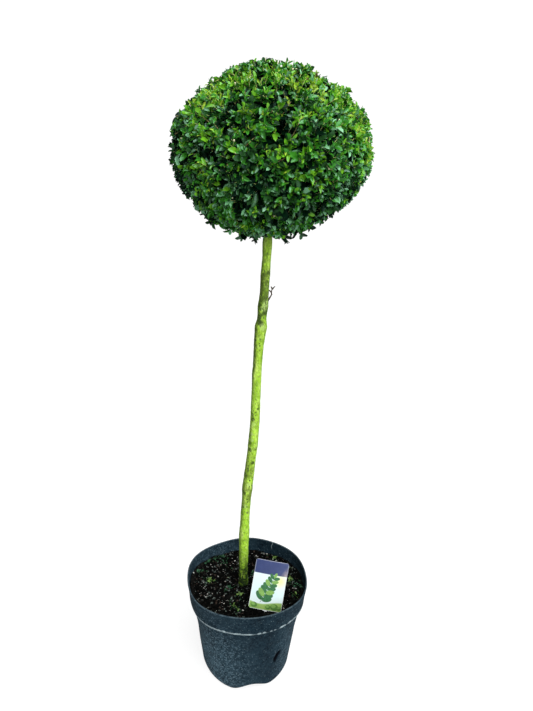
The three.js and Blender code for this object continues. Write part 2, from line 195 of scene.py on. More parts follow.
blotchGroup = makeMaskGroup("blotches", {"Scale": 20, "Low": 0.4, "High": 0.6}, cloudMask)
dotGroup = makeMaskGroup("scatteredDots", {"Scale": 200, "Size": 0.25, "Softness": 0.08}, dotMask)


def blotches(place, scale, low, high):
    return place.via("ShaderNodeGroup", {0: place, 1: scale, 2: low, 3: high}, node_tree=blotchGroup)


# Scattered dots of uneven size
def dots(place, scale, size, softness):
    return place.via("ShaderNodeGroup", {0: place, 1: scale, 2: size, 3: softness}, node_tree=dotGroup)


def stretched(place, tall):
    return place.via("ShaderNodeMapping", {"Vector": place, "Scale": (1, 1, tall)})


def slanted(place, turn, long):
    inputs = {"Vector": place, "Rotation": (0, turn, 0), "Scale": (1, 1, long)}
    return place.via("ShaderNodeMapping", inputs, vector_type="TEXTURE")


# Mottled between a darker and a lighter form of one color
def plainMaterial(name, color, roughness, spread=0.35, scale=120, gloss=0.35):
    material, shader, place = newMaterial(name, Roughness=roughness, Specular_IOR_Level=gloss)
    cloud = blotches(place, scale, 0.3, 0.7)
    shades(cloud, color, spread).into(shader, "Base Color")
    bump(shader, cloud, 0.3, 0.0004)
    return material


def shades(mask, color, spread):
    dark = [value * (1 - spread) for value in color]
    light = [min(value * (1 + spread), 1) for value in color]
    return mask.ramp((0, dark), (1, light))


# Mesh helpers

# A piece takes the place of the solid with its slot's name, or of the nodes that are given
def finishPiece(name, mesh, materials, slot, nodes=None, smooth=True):
    piece = putInScene(name, mesh)
    for material in materials:
        mesh.materials.append(material)
    if smooth:
        mesh.polygons.foreach_set("use_smooth", [True] * len(mesh.polygons))
    nodes = [slot] if nodes is None else nodes
    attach(piece, "root")
    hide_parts(*nodes)


def meshFrom(shape, name):
    mesh = bpy.data.meshes.new(name)
    shape.to_mesh(mesh)
    shape.free()
    return mesh


def pieceFromBmesh(name, shape, materials, slot, smooth=True):
    bmesh.ops.remove_doubles(shape, verts=shape.verts, dist=1e-6)
    bmesh.ops.recalc_face_normals(shape, faces=shape.faces)
    finishPiece(name, meshFrom(shape, name), materials, slot, smooth=smooth)


# One mesh out of many copies of a small shape: corners is (copies, points, 3), in millimetres
def pieceFromCopies(name, corners, triangles, material, slot, nodes=None, smooth=True):
    copies, points, _ = corners.shape
    faces = triangles[None] + (np.arange(copies) * points)[:, None, None]
    mesh = bpy.data.meshes.new(name)
    mesh.from_pydata((corners * mm).reshape(-1, 3), [], faces.reshape(-1, 3))
    print("  ", name, copies, "copies,", len(mesh.polygons), "triangles")
    finishPiece(name, mesh, [material], slot, nodes, smooth)


def toMetres(shape):
    bmesh.ops.scale(shape, vec=(mm, mm, mm), verts=shape.verts)


def unit(vectors):
    return vectors / np.maximum(np.linalg.norm(vectors, axis=-1, keepdims=True), 1e-12)


# Round limbs along paths: paths is (limbs, points, 3), radii is (limbs, points)
def limbCorners(paths, radii, sides):
    tangent = unit(np.gradient(paths, axis=1))
    chord = unit(paths[:, -1] - paths[:, 0])
    helper = np.where(np.abs(chord[:, 2:]) < 0.8, [[0.0, 0.0, 1.0]], [[1.0, 0.0, 0.0]])
    side = unit(np.cross(tangent, helper[:, None]))
    across = np.cross(tangent, side)
    angle = np.arange(sides) * 2 * math.pi / sides
    spoke = np.cos(angle)[:, None] * side[:, :, None] + np.sin(angle)[:, None] * across[:, :, None]
    rings = paths[:, :, None] + radii[:, :, None, None] * spoke
    return np.concatenate([rings.reshape(len(paths), -1, 3), paths[:, :1], paths[:, -1:]], axis=1)


def limbTriangles(points, sides):
    faces = []
    foot = points * sides
    for k in range(sides):
        after = (k + 1) % sides
        for ring in range(points - 1):
            low, high = ring * sides, (ring + 1) * sides
            faces += [(low + k, high + after, low + after), (low + k, high + k, high + after)]
        last = (points - 1) * sides
        faces += [(foot, k, after), (foot + 1, last + after, last + k)]
    return np.array(faces)


# Pot: the same profile and the same out-of-round wall as the solid, with a rolled lip and a worn step

potShape = {
    "height": 236,
    "rimRadius": 141.5,
    "collarHeight": 48.5,
    "collarFootRadius": 136,
    # the collar's outside, from its foot: out and up
    "collarLine": [(-0.1, 0.2), (0.15, 1), (1.8, 22)],
    "shoulderRadius": 129.6,
    "shoulderDrop": 3,
    "bellyRadius": 118.2,
    "bellyHeight": 115,
    "heelRadius": 113,
    "heelHeight": 68,
    "footRadius": 105.6,
    "footRound": 11,
    "wall": 1.8,
    "lip": 1.7,
    "rimWaves": [(1, 2.4, -152), (2, 2, 0), (3, 1, -34), (4, 1.7, -32), (5, 0.9, 20), (6, 1.1, -24)],
    "footWaves": [(1, 5.5, -123), (2, 2.9, -31), (3, 3.1, 25)],
    "archCount": 3,
    "archBearing": -80,
    "archHalfAngle": 27,
    "archRise": 15,
    "archInnerRadius": 76,
    "steps": 180,
    "flankSteps": 18,
    "creaseBearing": -52,
    "creaseHeight": 88,
    "creaseSlant": (0.9, 0.45),
    "creaseCurve": 0.01,
    "seamBearing": 136,
    "scuffDashes": [(-1.37, -1.31), (-1.29, -1.23), (-1.15, -1.12), (-1.08, -1.06), (-0.98, -0.86)],
}


def smoothStep(value, low, high):
    share = min(max((value - low) / (high - low), 0), 1)
    return share * share * (3 - 2 * share)


def bulge(waves, bearing):
    return sum(depth * math.cos(count * (bearing - math.radians(crest))) for count, depth, crest in waves)


def potWave(bearing, radius, height):
    share = height / potShape["height"]
    wave = (1 - share) * bulge(potShape["footWaves"], bearing) + share * bulge(potShape["rimWaves"], bearing)
    return wave * min(1, radius / potShape["archInnerRadius"])


def potArch(bearing, radius, height):
    shape = potShape
    spacing = 2 * math.pi / shape["archCount"]
    turn = bearing - math.radians(shape["archBearing"])
    off = abs(turn - spacing * round(turn / spacing)) / math.radians(shape["archHalfAngle"])
    inside = 0.5 + 0.5 * math.cos(off * math.pi) if off < 1 else 0
    outwards = smoothStep(radius, shape["archInnerRadius"], shape["footRadius"] - shape["footRound"])
    return inside * outwards * (1 - smoothStep(height, 0, shape["heelHeight"]))


def widen(point, factor):
    point.x *= factor
    point.y *= factor


# A point of the round pot, moved to where the soft wall stands
def potPlace(point):
    radius = math.hypot(point.x, point.y)
    if radius < 1e-6:
        return
    bearing = math.atan2(point.y, point.x)
    grown = radius + potWave(bearing, radius, point.z)
    point.z += potShape["archRise"] * potArch(bearing, radius, point.z)
    widen(point, grown / radius)


def potProfile():
    shape = potShape
    top, wall, lip = shape["height"], shape["wall"], shape["lip"]
    rim, collar = shape["rimRadius"], shape["collarFootRadius"]
    step = top - shape["collarHeight"]

    def corner(inset):
        middle = shape["footRadius"] - shape["footRound"]
        reach = shape["footRound"] - inset
        angles = [i * math.pi / 14 for i in range(8)]
        return [(middle + reach * math.sin(a), shape["footRound"] - reach * math.cos(a)) for a in angles]

    def flank(inset):
        line = [(shape[part + "Radius"] - inset, shape[part + "Height"]) for part in ("heel", "belly")]
        line.append((shape["shoulderRadius"] - inset, step - shape["shoulderDrop"] + inset / 2))
        fine = []
        for (r0, z0), (r1, z1) in zip(line, line[1:]):
            count = shape["flankSteps"]
            fine += [(r0 + (r1 - r0) * i / count, z0 + (z1 - z0) * i / count) for i in range(count)]
        return fine + [line[-1], (collar - inset - 0.6, step + inset / 2 - 0.3)]

    rolled = [i * math.pi / 8 for i in range(9)]
    rolledLip = [(rim - lip + lip * math.cos(a), top - lip + lip * math.sin(a)) for a in rolled]
    belowLip = top - 6
    outside = [(collar + out, step + up) for out, up in shape["collarLine"]] + [(rim - 0.7, belowLip)]
    out, up = shape["collarLine"][-1]
    inside = [(rim - wall - 0.7, belowLip), (collar + out - wall, step + up), (collar - wall, step + 1.5)]
    floor = [(shape["archInnerRadius"] * share, wall) for share in (1, 0.66, 0.33)]
    underside = [(radius, 0) for radius, _ in reversed(floor)]
    outer = [(0, 0), *underside, *corner(0), *flank(0), *outside, *rolledLip]
    inner = [*inside, *reversed(flank(wall)), *reversed(corner(wall)), *floor, (0, wall)]
    return outer + inner


def spinProfile(shape, profile, steps):
    verts = [shape.verts.new((radius, 0, height)) for radius, height in profile]
    edges = [shape.edges.new(pair) for pair in zip(verts, verts[1:])]
    around = {"axis": (0, 0, 1), "cent": (0, 0, 0), "angle": 2 * math.pi}
    bmesh.ops.spin(shape, geom=verts + edges, steps=steps, use_merge=True, **around)
    bmesh.ops.remove_doubles(shape, verts=shape.verts, dist=1e-4)


potColors = {
    "plastic": [(0, (0.001, 0.005, 0.01)), (0.5, (0.003, 0.012, 0.021)), (1, (0.012, 0.03, 0.043))],
    "mottle": (0.02, 0.042, 0.058),
    "speckle": (0.028, 0.055, 0.076),
    "dust": (0.16, 0.25, 0.31),
    "film": (0.085, 0.155, 0.2),
    "fleck": (0.2, 0.28, 0.31),
    "scuff": (0.46, 0.58, 0.62),
    # lip: a painted highlight along the rim's top edge
    "lip": (0.1, 0.14, 0.16),
    # crease: painted shade in the dent
    "crease": (0, 0.001, 0.003),
    "scratch": (0.24, 0.3, 0.32),
}


# The collar's foot is scuffed pale, with a clean stretch at the front right
def scuffMask(place, bearing, z):
    level = z + (blotches(place, 110, 0, 1) - 0.5) * 0.002
    wide = blotches(place, 40, 0.3, 0.6) * bearing.band(-1.98, -1.42, 0.08)
    broken = bearing.band(-0.82, -0.3, 0.03)
    for start, end in potShape["scuffDashes"]:
        broken = broken.maths("MAXIMUM", bearing.band(start, end, 0.02))
    leftEnd = bearing.band(-3.1, -1.98, 0.08)
    top = wide * 0.004 + 0.19 + (broken * 0.003 + leftEnd * 0.0022)
    reach = bearing.band(-3.05, -1.42, 0.05).maths("MAXIMUM", broken)
    reach = reach.maths("MAXIMUM", blotches(place, 70, 0.45, 0.6) * 0.2)
    scuff = (top - level).remap(0, 0.0012) * z.remap(0.1855, 0.187) * reach
    return scuff * blotches(place, 150, 0.35, 0.65).remap(start=0.3)


# Where a point lies along and across the pressed crease, which curves down to the left
def alongCrease(bearing, height, unitLength):
    slope, side = potShape["creaseSlant"]
    away = (bearing - math.radians(potShape["creaseBearing"])) * (potShape["bellyRadius"] * unitLength)
    up = height - potShape["creaseHeight"] * unitLength
    along = up * slope + away * side
    return along, away * slope - up * side - along * along * (potShape["creaseCurve"] / unitLength)


def makePotMaterial():
    material, shader, place = newMaterial("dustyBlackPlastic", Specular_IOR_Level=0.06)
    x, y, z = place.axes()
    bearing = y.maths("ARCTAN2", x)
    cloud = blotches(place, 26, 0.3, 0.72)
    fine = blotches(place, 230, 0.42, 0.68)
    # dust is thickest low down on the front left, and there is next to none inside
    leftward = x.remap(0.04, -0.115, 0.05, 1.55, interpolation_type="SMOOTHSTEP")
    thick = z.remap(0.2, 0.09, 0.2, 1) * (leftward + x.remap(0.06, 0.108, 0, 0.65))
    dust = dots(place, 290, 0.8, 0.25) * thick
    # the pressed crease shows no dust and is painted near black, a painted shade in its dent
    along, across = alongCrease(bearing, z, mm)
    # a pale scratch down the inside of the wall at the back
    scratch = (bearing + (z * 330).maths("SINE") * 0.008).band(1.125, 1.139, 0.003)
    masks = {
        "mottle": blotches(place, 130, 0.46, 0.62) * 0.5,
        "speckle": fine * 0.45,
        "dust": dust * 0.85,
        "film": blotches(place, 90, 0.35, 0.7) * thick * 0.7,
        "fleck": dots(place, 230, 0.3, 0.1) * 0.5,
        "scuff": scuffMask(place, bearing, z),
        # a paler band along the rolled lip's top is a painted highlight
        "lip": z.band(0.2345, 0.24, 0.001) * blotches(place, 90, 0.3, 0.6) * 0.6,
        "crease": across.band(-0.0028, 0.0056, 0.0016) * along.band(-0.017, 0.015, 0.004),
        "scratch": scratch * z.band(0.2175, 0.24, 0.003) * 0.75,
    }
    layered(cloud.ramp(*potColors["plastic"]), potColors, masks).into(shader, "Base Color")
    (cloud.remap(start=0.6, end=0.78) + dust * 0.25).into(shader, "Roughness")
    bump(shader, fine + cloud * 1.5, 0.35, 0.0006)
    return material


# How far the wall stands out of its true shape: softness, the crease and a faint moulding seam
def potHandling(point):
    shape = potShape
    bearing = math.atan2(point.y, point.x)
    soft = noise.noise(point * 0.014) * 1.1 + noise.noise(point * 0.045) * 0.35
    calm = smoothStep(point.z, 4, 40) * (1 - smoothStep(point.z, 226, 235))
    along, across = alongCrease(bearing, point.z, 1)
    crease = 5 * math.exp(-((across / 3.4) ** 2) - (along / 15) ** 4)
    crease -= 2 * math.exp(-(((across - 8) / 6) ** 2) - (along / 17) ** 2)
    seam = (bearing - math.radians(shape["seamBearing"])) * shape["rimRadius"]
    return soft * calm - crease - 0.5 * math.exp(-((seam / 1.6) ** 2)) * calm


def makePot():
    shape = bmesh.new()
    spinProfile(shape, potProfile(), potShape["steps"])
    for vert in shape.verts:
        potPlace(vert.co)
        radius = math.hypot(vert.co.x, vert.co.y)
        if radius > potShape["archInnerRadius"]:
            widen(vert.co, 1 + potHandling(vert.co) / radius)
    toMetres(shape)
    pieceFromBmesh("nurseryPot", shape, [makePotMaterial()], "pot")


makePot()
print("pot made")


# Compost: a lumpy plug, with crumbs, bark, grit, stones, chips and small weeds lying on it

soilShape = {
    "level": 207,
    "bank": 5,
    "lump": 2.2,
    # room left between the compost and the pot; its flanks stand further in, its top further out
    "clearance": 0.4,
    "slack": 0.8,
    "rings": 64,
    "steps": 150,
    "roughness": 2.4,
    "strewnRadius": 127,
    # name: count, smallest and largest size, flatness and color
    "crumbs": {
        "compostCrumbs": (7600, (0.8, 4.2), 0.8, (0.0014, 0.0016, 0.0015)),
        "brownCrumbs": (900, (0.8, 3.6), 0.5, (0.046, 0.033, 0.026)),
        "greyCrumbs": (1000, (0.8, 3.4), 0.7, (0.105, 0.13, 0.118)),
        "paleGrit": (600, (0.5, 2.5), 0.8, (0.5, 0.5, 0.46)),
    },
    "mossCrumbs": 50,
    # the compost dips by the label: depth, middle and half sizes
    "labelDip": (6, 80, -86, 30, 20),
    # kept free of crumbs in front of the label: middle and half sizes
    "labelGap": (66, -88, 28, 12),
    "paleGap": (44, -89, 50, 13),
    "seed": 5,
    # place in plan and size
    "stones": [(-20, 2, 2.6), (-74, -44, 2.4), (-66, -55, 2.2), (6, 112, 2.6), (21, 104, 2.2), (-134, 28, 2)],
    # place in plan and turn
    "chips": [(-48, 20, 60), (-42, 44, 20), (106, 59, -20), (103, 15, 35), (60, 92, 80), (-93, 14, 40),
              (112, -40, 70)],
    "darkTufts": [(-71, 92), (-106, 75), (-84, 88), (-60, 70), (-42, -17), (120, -7), (12, 35), (-118, 30)],
    "paleTufts": [(-93, 8), (-88, 2), (103, 12), (-31, -67), (65, 99), (-20, -80), (88, 60), (113, -36),
                  (-16, -38)],
}

soilColors = {
    "plug": [(0, (0.0015, 0.0017, 0.0015)), (0.6, (0.004, 0.004, 0.0035)), (1, (0.014, 0.014, 0.011))],
    "grains": (0.2, 0.18, 0.15),
    "moss": (0.03, 0.085, 0.04),
    "stones": (0.6, 0.62, 0.58),
    "chips": (0.3, 0.38, 0.26),
    "darkTufts": (0.028, 0.11, 0.05),
    "paleTufts": (0.17, 0.3, 0.07),
}


def soilLevel(x, y):
    shape = soilShape
    banked = shape["level"] + shape["bank"] * (x * x - y * y) / potShape["collarFootRadius"] ** 2
    lumps = math.sin(x / 13 + 1) * math.cos(y / 11) + math.sin((x - y) / 19 + 2) + math.cos((x + 2 * y) / 17)
    rough = noise.fractal(Vector((x, y, 3)) * 0.11, 1, 2, 4)
    depth, dipX, dipY, halfX, halfY = shape["labelDip"]
    dip = depth * math.exp(-(((x - dipX) / halfX) ** 2) - ((y - dipY) / halfY) ** 2)
    return banked + shape["lump"] * lumps / 2 + shape["roughness"] * rough - dip


def makeSoilMaterial():
    material, shader, place = newMaterial("darkCompost", Specular_IOR_Level=0.1, Roughness=0.95)
    cloud = blotches(place, 70, 0.35, 0.7)
    grains = dots(place, 330, 0.28, 0.06) * 0.6
    layered(cloud.ramp(*soilColors["plug"]), soilColors, {"grains": grains}).into(shader, "Base Color")
    bump(shader, blotches(place, 260, 0.3, 0.7), 0.8, 0.0012)
    return material


def makeSoil():
    shape, pot = soilShape, potShape
    inset = pot["wall"] + shape["clearance"]
    step = pot["height"] - pot["collarHeight"] + inset / 2 + shape["clearance"]
    top = pot["collarFootRadius"] - inset + shape["slack"]
    inward = inset + shape["slack"]
    profile = [
        (0, inset),
        (pot["archInnerRadius"] - 2, inset),
        (pot["footRadius"] - pot["footRound"], inset + pot["archRise"] + 3),
        (pot["heelRadius"] - inward, pot["heelHeight"]),
        (pot["bellyRadius"] - inward, pot["bellyHeight"]),
        (pot["shoulderRadius"] - inward, step - pot["shoulderDrop"]),
        (pot["collarFootRadius"] - inward, step),
    ]
    profile += [(top * (1 - i / shape["rings"]), shape["level"]) for i in range(shape["rings"] + 1)]
    plug = bmesh.new()
    spinProfile(plug, profile, shape["steps"])
    for vert in plug.verts:
        radius = math.hypot(vert.co.x, vert.co.y)
        if vert.co.z > shape["level"] - 0.5:
            vert.co.z = soilLevel(vert.co.x, vert.co.y)
        if radius > 1e-6:
            bearing = math.atan2(vert.co.y, vert.co.x)
            widen(vert.co, 1 + (potWave(bearing, radius, vert.co.z) - 0.2 * radius / top) / radius)
    toMetres(plug)
    pieceFromBmesh("compost", plug, [makeSoilMaterial()], "soil")


# Lumps with eight faces each, squashed, turned and half sunk
def scatterLumps(name, places, sizes, flatness, color, random, turns=None):
    octahedron = np.array([(1, 0, 0), (0, 1, 0), (-1, 0, 0), (0, -1, 0), (0, 0, 1), (0, 0, -1)], float)
    triangles = np.array([(k, (k + 1) % 4, 4) for k in range(4)] + [((k + 1) % 4, k, 5) for k in range(4)])
    count = len(places)
    corners = np.repeat(octahedron[None], count, axis=0)
    corners *= 1 + 0.35 * random.uniform(-1, 1, (count, 6, 1))
    corners += 0.2 * random.uniform(-1, 1, (count, 6, 3))
    long, wide = random.uniform(0.8, 1.7, count), random.uniform(0.5, 1, count)
    stretch = np.stack([long, wide, np.full(count, flatness)], 1)
    corners *= (sizes[:, None] * stretch)[:, None]
    turns = random.uniform(0, 2 * math.pi, count) if turns is None else turns
    for i in range(count):
        turn = Matrix.Rotation(turns[i], 3, "Z") @ Matrix.Rotation(random.normal(0, 0.5), 3, "X")
        corners[i] = corners[i] @ np.array(turn).T
    level = np.array([soilLevel(x, y) for x, y in places])
    sunk = sizes * flatness * random.uniform(-0.1, 0.7, count)
    corners += np.concatenate([places, (level + sunk)[:, None]], 1)[:, None]
    material = plainMaterial(name + "Finish", color, 0.9, gloss=0.05)
    pieceFromCopies(name, corners, triangles, material, "soil", nodes=(), smooth=False)


def spreadOnSoil(count, gap, random):
    radius = soilShape["strewnRadius"] * np.sqrt(random.uniform(0.001, 1, count))
    bearing = random.uniform(0, 2 * math.pi, count)
    places = np.stack([radius * np.cos(bearing), radius * np.sin(bearing)], 1)
    x, y, halfX, halfY = gap
    inGap = (np.abs(places[:, 0] - x) < halfX) & (np.abs(places[:, 1] - y) < halfY)
    places[inGap] *= -0.9
    return places


def scatterSoilBits():
    shape = soilShape
    random = np.random.default_rng(shape["seed"])

    def sizes(low, high, count):
        return low + (high - low) * random.uniform(0, 1, count) ** 2.5

    for name, (count, (low, high), flatness, color) in shape["crumbs"].items():
        gap = shape["labelGap" if name == "compostCrumbs" else "paleGap"]
        scatterLumps(name, spreadOnSoil(count, gap, random), sizes(low, high, count), flatness, color, random)
    moss = np.repeat(np.array(shape["darkTufts"] + shape["paleTufts"], float), shape["mossCrumbs"], axis=0)
    moss += random.normal(0, 8, moss.shape)
    moss = moss[np.hypot(moss[:, 0], moss[:, 1]) < shape["strewnRadius"] - 1]
    scatterLumps("mossCrumbs", moss, sizes(0.8, 3, len(moss)), 0.7, soilColors["moss"], random)
    stones = np.array(shape["stones"], float)
    scatterLumps("paleStones", stones[:, :2], stones[:, 2], 0.8, soilColors["stones"], random)
    chips = np.array(shape["chips"], float)
    chipSizes = random.uniform(3, 4.6, len(chips))
    turns = np.radians(chips[:, 2])
    scatterLumps("greenGreyChips", chips[:, :2], chipSizes, 0.3, soilColors["chips"], random, turns)


# Small weeds: a ring of short leaves leaning out of the compost
def growTufts(name, kind, random):
    template = [(-0.5, 0.1, 0), (0, 0, 0), (0.5, 0.1, 0), (-0.42, 0.6, 0.1), (0, 0.55, 0), (0.42, 0.6, 0.1)]
    template = np.array([*template, (0, 1, -0.1)])
    triangles = np.array([(0, 1, 3), (1, 4, 3), (1, 2, 4), (2, 5, 4), (3, 4, 6), (4, 5, 6)])
    corners = []
    for x, y in soilShape[kind]:
        for _ in range(int(random.integers(6, 13))):
            bearing = random.uniform(0, 2 * math.pi)
            lean = random.uniform(0.2, 1.3)
            size = random.uniform(4, 12)
            wide = size * random.uniform(0.3, 0.7)
            turn = Matrix.Rotation(bearing, 3, "Z") @ Matrix.Rotation(math.pi / 2 - lean, 3, "X")
            foot = Vector((x + random.normal(0, 2.5), y + random.normal(0, 2.5), 0))
            foot.z = soilLevel(foot.x, foot.y) - 0.6
            shaped = [turn @ Vector(point) + foot for point in template * (wide, size, size)]
            corners.append([tuple(point) for point in shaped])
    material = plainMaterial(name + "Leaf", soilColors[kind], 0.6, 0.6, 60)
    pieceFromCopies(name, np.array(corners), triangles, material, "soil", nodes=())


makeSoil()
scatterSoilBits()
tuftRandom = np.random.default_rng(soilShape["seed"] + 1)
growTufts("darkWeeds", "darkTufts", tuftRandom)
growTufts("paleWeeds", "paleTufts", tuftRandom)
print("compost made")


# Stem: the solid's middle line and taper, with the bark's relief

stemShape = {
    "line": [
        (-11, 0, 204), (-11.6, 2, 294), (-9.6, 4, 406), (-5.6, 3, 476), (1.6, 1, 550),
        (6.2, -1, 619), (8.4, -3, 726), (10, -3, 786), (12.2, -3, 822), (15.9, -2, 866),
        (18, -1.4, 893), (20.4, 0, 949), (22.2, 1, 1010), (24.6, 0, 1116),
    ],
    "footRadius": 10.85,
    "tipRadius": 8.45,
    "foot": 204,
    "tip": 1116,
    "flare": 1.6,
    "flareHeight": 22,
    # swellings: height, size, half height
    "knots": [
        (345, 1.8, 22), (464, 1.7, 14), (490, 0.9, 22), (540, 0.6, 40), (580, 0.9, 18), (650, 0.5, 50),
        (742, 0.5, 18), (778, 0.5, 16), (805, 0.9, 20), (822, 1.3, 12), (843, 3.4, 13), (886, 1.9, 15),
        (950, 0.5, 14), (1008, 0.9, 16),
    ],
    "ruggedness": 0.35,
    # waves in its roundness: how many round it, and how fast they turn with height
    "rugs": [(3, 31), (2, -17), (1, 11)],
    "rings": 620,
    "sides": 48,
    # height and bearing of old leaf scars
    "scars": [
        (236, 1.9), (361, -2.2), (448, -0.7), (505, 2.6), (583, -1.4), (668, 0.4), (742, -2.6), (851, -1.1),
        (928, -2),
    ],
    # marks in the bark: height, bearing, size and strength
    "darkMarks": [
        (407, -58, 6, 0.8), (460, -120, 8, 0.9), (468, -85, 5, 0.6), (503, -134, 7, 0.7),
        (522, -115, 4, 0.7), (536, -64, 7.5, 0.9), (547, -50, 4, 0.7), (568, -124, 9, 0.9),
        (571, -50, 7, 0.8), (585, -130, 7, 0.7), (600, -138, 6, 0.7), (641, -116, 7.5, 0.85),
        (652, -130, 7, 0.6), (658, -88, 4, 0.7), (666, -50, 6, 0.8), (804, -125, 7, 0.5),
        (826, -100, 5, 0.4), (839, -143, 9, 0.8), (854, -90, 10, 0.9), (856, -118, 9, 0.9),
        (865, -130, 10, 0.95), (870, -108, 7, 0.5), (876, -50, 12, 0.9), (872, -82, 7, 0.6),
        (883, -112, 6, 0.8), (890, -132, 9, 0.9), (901, -117, 9, 0.85), (906, -75, 8, 0.6),
        (916, -135, 10, 0.8), (914, -60, 7, 0.5), (922, -95, 7, 0.5), (930, -136, 11, 0.9),
        (936, -75, 7, 0.5), (944, -138, 10, 0.8), (951, -104, 8, 0.7), (955, -48, 8, 0.9),
        (966, -92, 7, 0.25), (978, -92, 8, 0.35), (990, -90, 7, 0.3), (1008, -88, 7, 0.3),
        (870, 60, 10, 0.9), (890, 110, 11, 0.9), (930, 80, 11, 0.8), (560, 70, 9, 0.9),
        (640, 120, 8, 0.9), (480, 40, 8, 0.9), (858, 150, 10, 0.9), (910, 20, 9, 0.8),
    ],
    "paleMarks": [
        (893, -50, 14, 0.7), (884, -80, 11, 0.5), (846, -70, 12, 0.4), (928, -55, 8, 0.4),
        (607, -118, 6, 0.6), (592, -105, 6, 0.5), (630, -100, 7, 0.4), (480, -80, 8, 0.4),
        (425, -95, 9, 0.4),
    ],
    # darker films: from, to, softness and strength, all but the last in metres
    "films": [
        (0.77, 0.85, 0.02, 0.35), (0.86, 0.9, 0.01, 0.3), (0.9, 0.958, 0.006, 0.8), (0.43, 0.53, 0.03, 1.6),
        (0.6, 0.68, 0.03, 0.1),
    ],
}


def stemShare(height):
    return (height - stemShape["foot"]) / (stemShape["tip"] - stemShape["foot"])


# The stem's middle at a share of its height, by a smooth curve through the line's points
def stemMiddle(share):
    line = [Vector(point) for point in stemShape["line"]]
    height = stemShape["foot"] + float(share) * (stemShape["tip"] - stemShape["foot"])
    upper = next(i for i in range(1, len(line)) if line[i].z >= height or i == len(line) - 1)
    before, after = line[upper - 1], line[upper]
    span = after.z - before.z

    def slope(i):
        low, high = line[max(i - 1, 0)], line[min(i + 1, len(line) - 1)]
        return (high - low) / (high.z - low.z)

    t = (height - before.z) / span
    spread = t * t * (3 - 2 * t)
    start = (t - 2 * t * t + t * t * t) * span * slope(upper - 1)
    end = (t * t * t - t * t) * span * slope(upper)
    return before.lerp(after, spread) + start + end


def stemRadius(share, angle, height):
    shape = stemShape
    taper = shape["footRadius"] + (shape["tipRadius"] - shape["footRadius"]) * share
    flare = shape["flare"] * math.exp(-(height - shape["foot"]) / shape["flareHeight"])
    swell = sum(size * math.exp(-(((height - at) / half) ** 2)) for at, size, half in shape["knots"])
    rugged = sum(math.sin(turns * angle + height / wave) for turns, wave in shape["rugs"])
    return taper + flare + swell + shape["ruggedness"] * rugged / 2


# A tube from a wrapped grid: place(share, angle) gives each point
def wrapGrid(shape, rings, sides, place):
    made = bmesh.ops.create_grid(shape, x_segments=rings, y_segments=sides, size=0.5)["verts"]
    for vert in made:
        vert.co = place(vert.co.x + 0.5, 2 * math.pi * (vert.co.y + 0.5))
    bmesh.ops.remove_doubles(shape, verts=made, dist=1e-5)
    rims = [edge for edge in shape.edges if edge.is_boundary]
    bmesh.ops.holes_fill(shape, edges=rims, sides=0)


def roundAbout(middle, side, across, radius, angle):
    return (middle + side * radius * math.cos(angle) + across * radius * math.sin(angle)) * mm


def barkRelief(angle, height):
    point = Vector((math.cos(angle) * 9, math.sin(angle) * 9, height * 0.55))
    relief = 0.35 * noise.fractal(point * 0.22, 1, 2, 4) + 0.22 * noise.noise(point * 0.9)
    ring = noise.noise(Vector((math.cos(angle) * 2, math.sin(angle) * 2, height * 0.35)))
    relief += 0.16 * max(ring, 0)
    for at, bearing in stemShape["scars"]:
        away = abs((angle - bearing + math.pi) % (2 * math.pi) - math.pi) * 9
        distance = math.hypot(away, (height - at) * 0.8)
        relief += 1.1 * math.exp(-((distance / 4.2) ** 2)) - 1.3 * math.exp(-((distance / 1.5) ** 2))
    return relief


stemColors = {
    "bark": [(0, (0.25, 0.5, 0.02)), (0.5, (0.48, 0.83, 0.05)), (1, (0.68, 0.94, 0.18))],
    "fine": (0.15, 0.28, 0.02),
    "coarse": (0.15, 0.29, 0.02),
    "darkMarks": (0.02, 0.05, 0.004),
    "paleMarks": (0.62, 0.85, 0.3),
    "leftShade": (0.065, 0.11, 0.014),
    "rightShade": (0.16, 0.36, 0.015),
    "mottle": (0.03, 0.075, 0.006),
    "streak": (0.66, 0.88, 0.22),
    "fleck": (0.05, 0.08, 0.03),
    "film": (0.11, 0.165, 0.02),
    "darkerFoot": (0.012, 0.03, 0.005),
    # top: painted shade under the ball
    "top": (0.14, 0.17, 0.04),
}


def paintMarks(base, place):
    ragged = (blotches(place, 220, 0, 1) - 0.5) * 0.007
    for kind in ("darkMarks", "paleMarks"):
        for height, bearing, size, strength in stemShape[kind]:
            share, angle = stemShare(height), math.radians(bearing)
            outward = Vector((math.cos(angle), math.sin(angle), 0))
            spot = stemMiddle(share) + outward * stemRadius(share, angle, height)
            away = place.via("ShaderNodeVectorMath", {0: place, 1: spot * mm}, "Value", operation="DISTANCE")
            mask = (away + ragged).remap(size * 0.00075, size * 0.0004) * strength
            base = mask.mix(base, stemColors[kind])
    return base


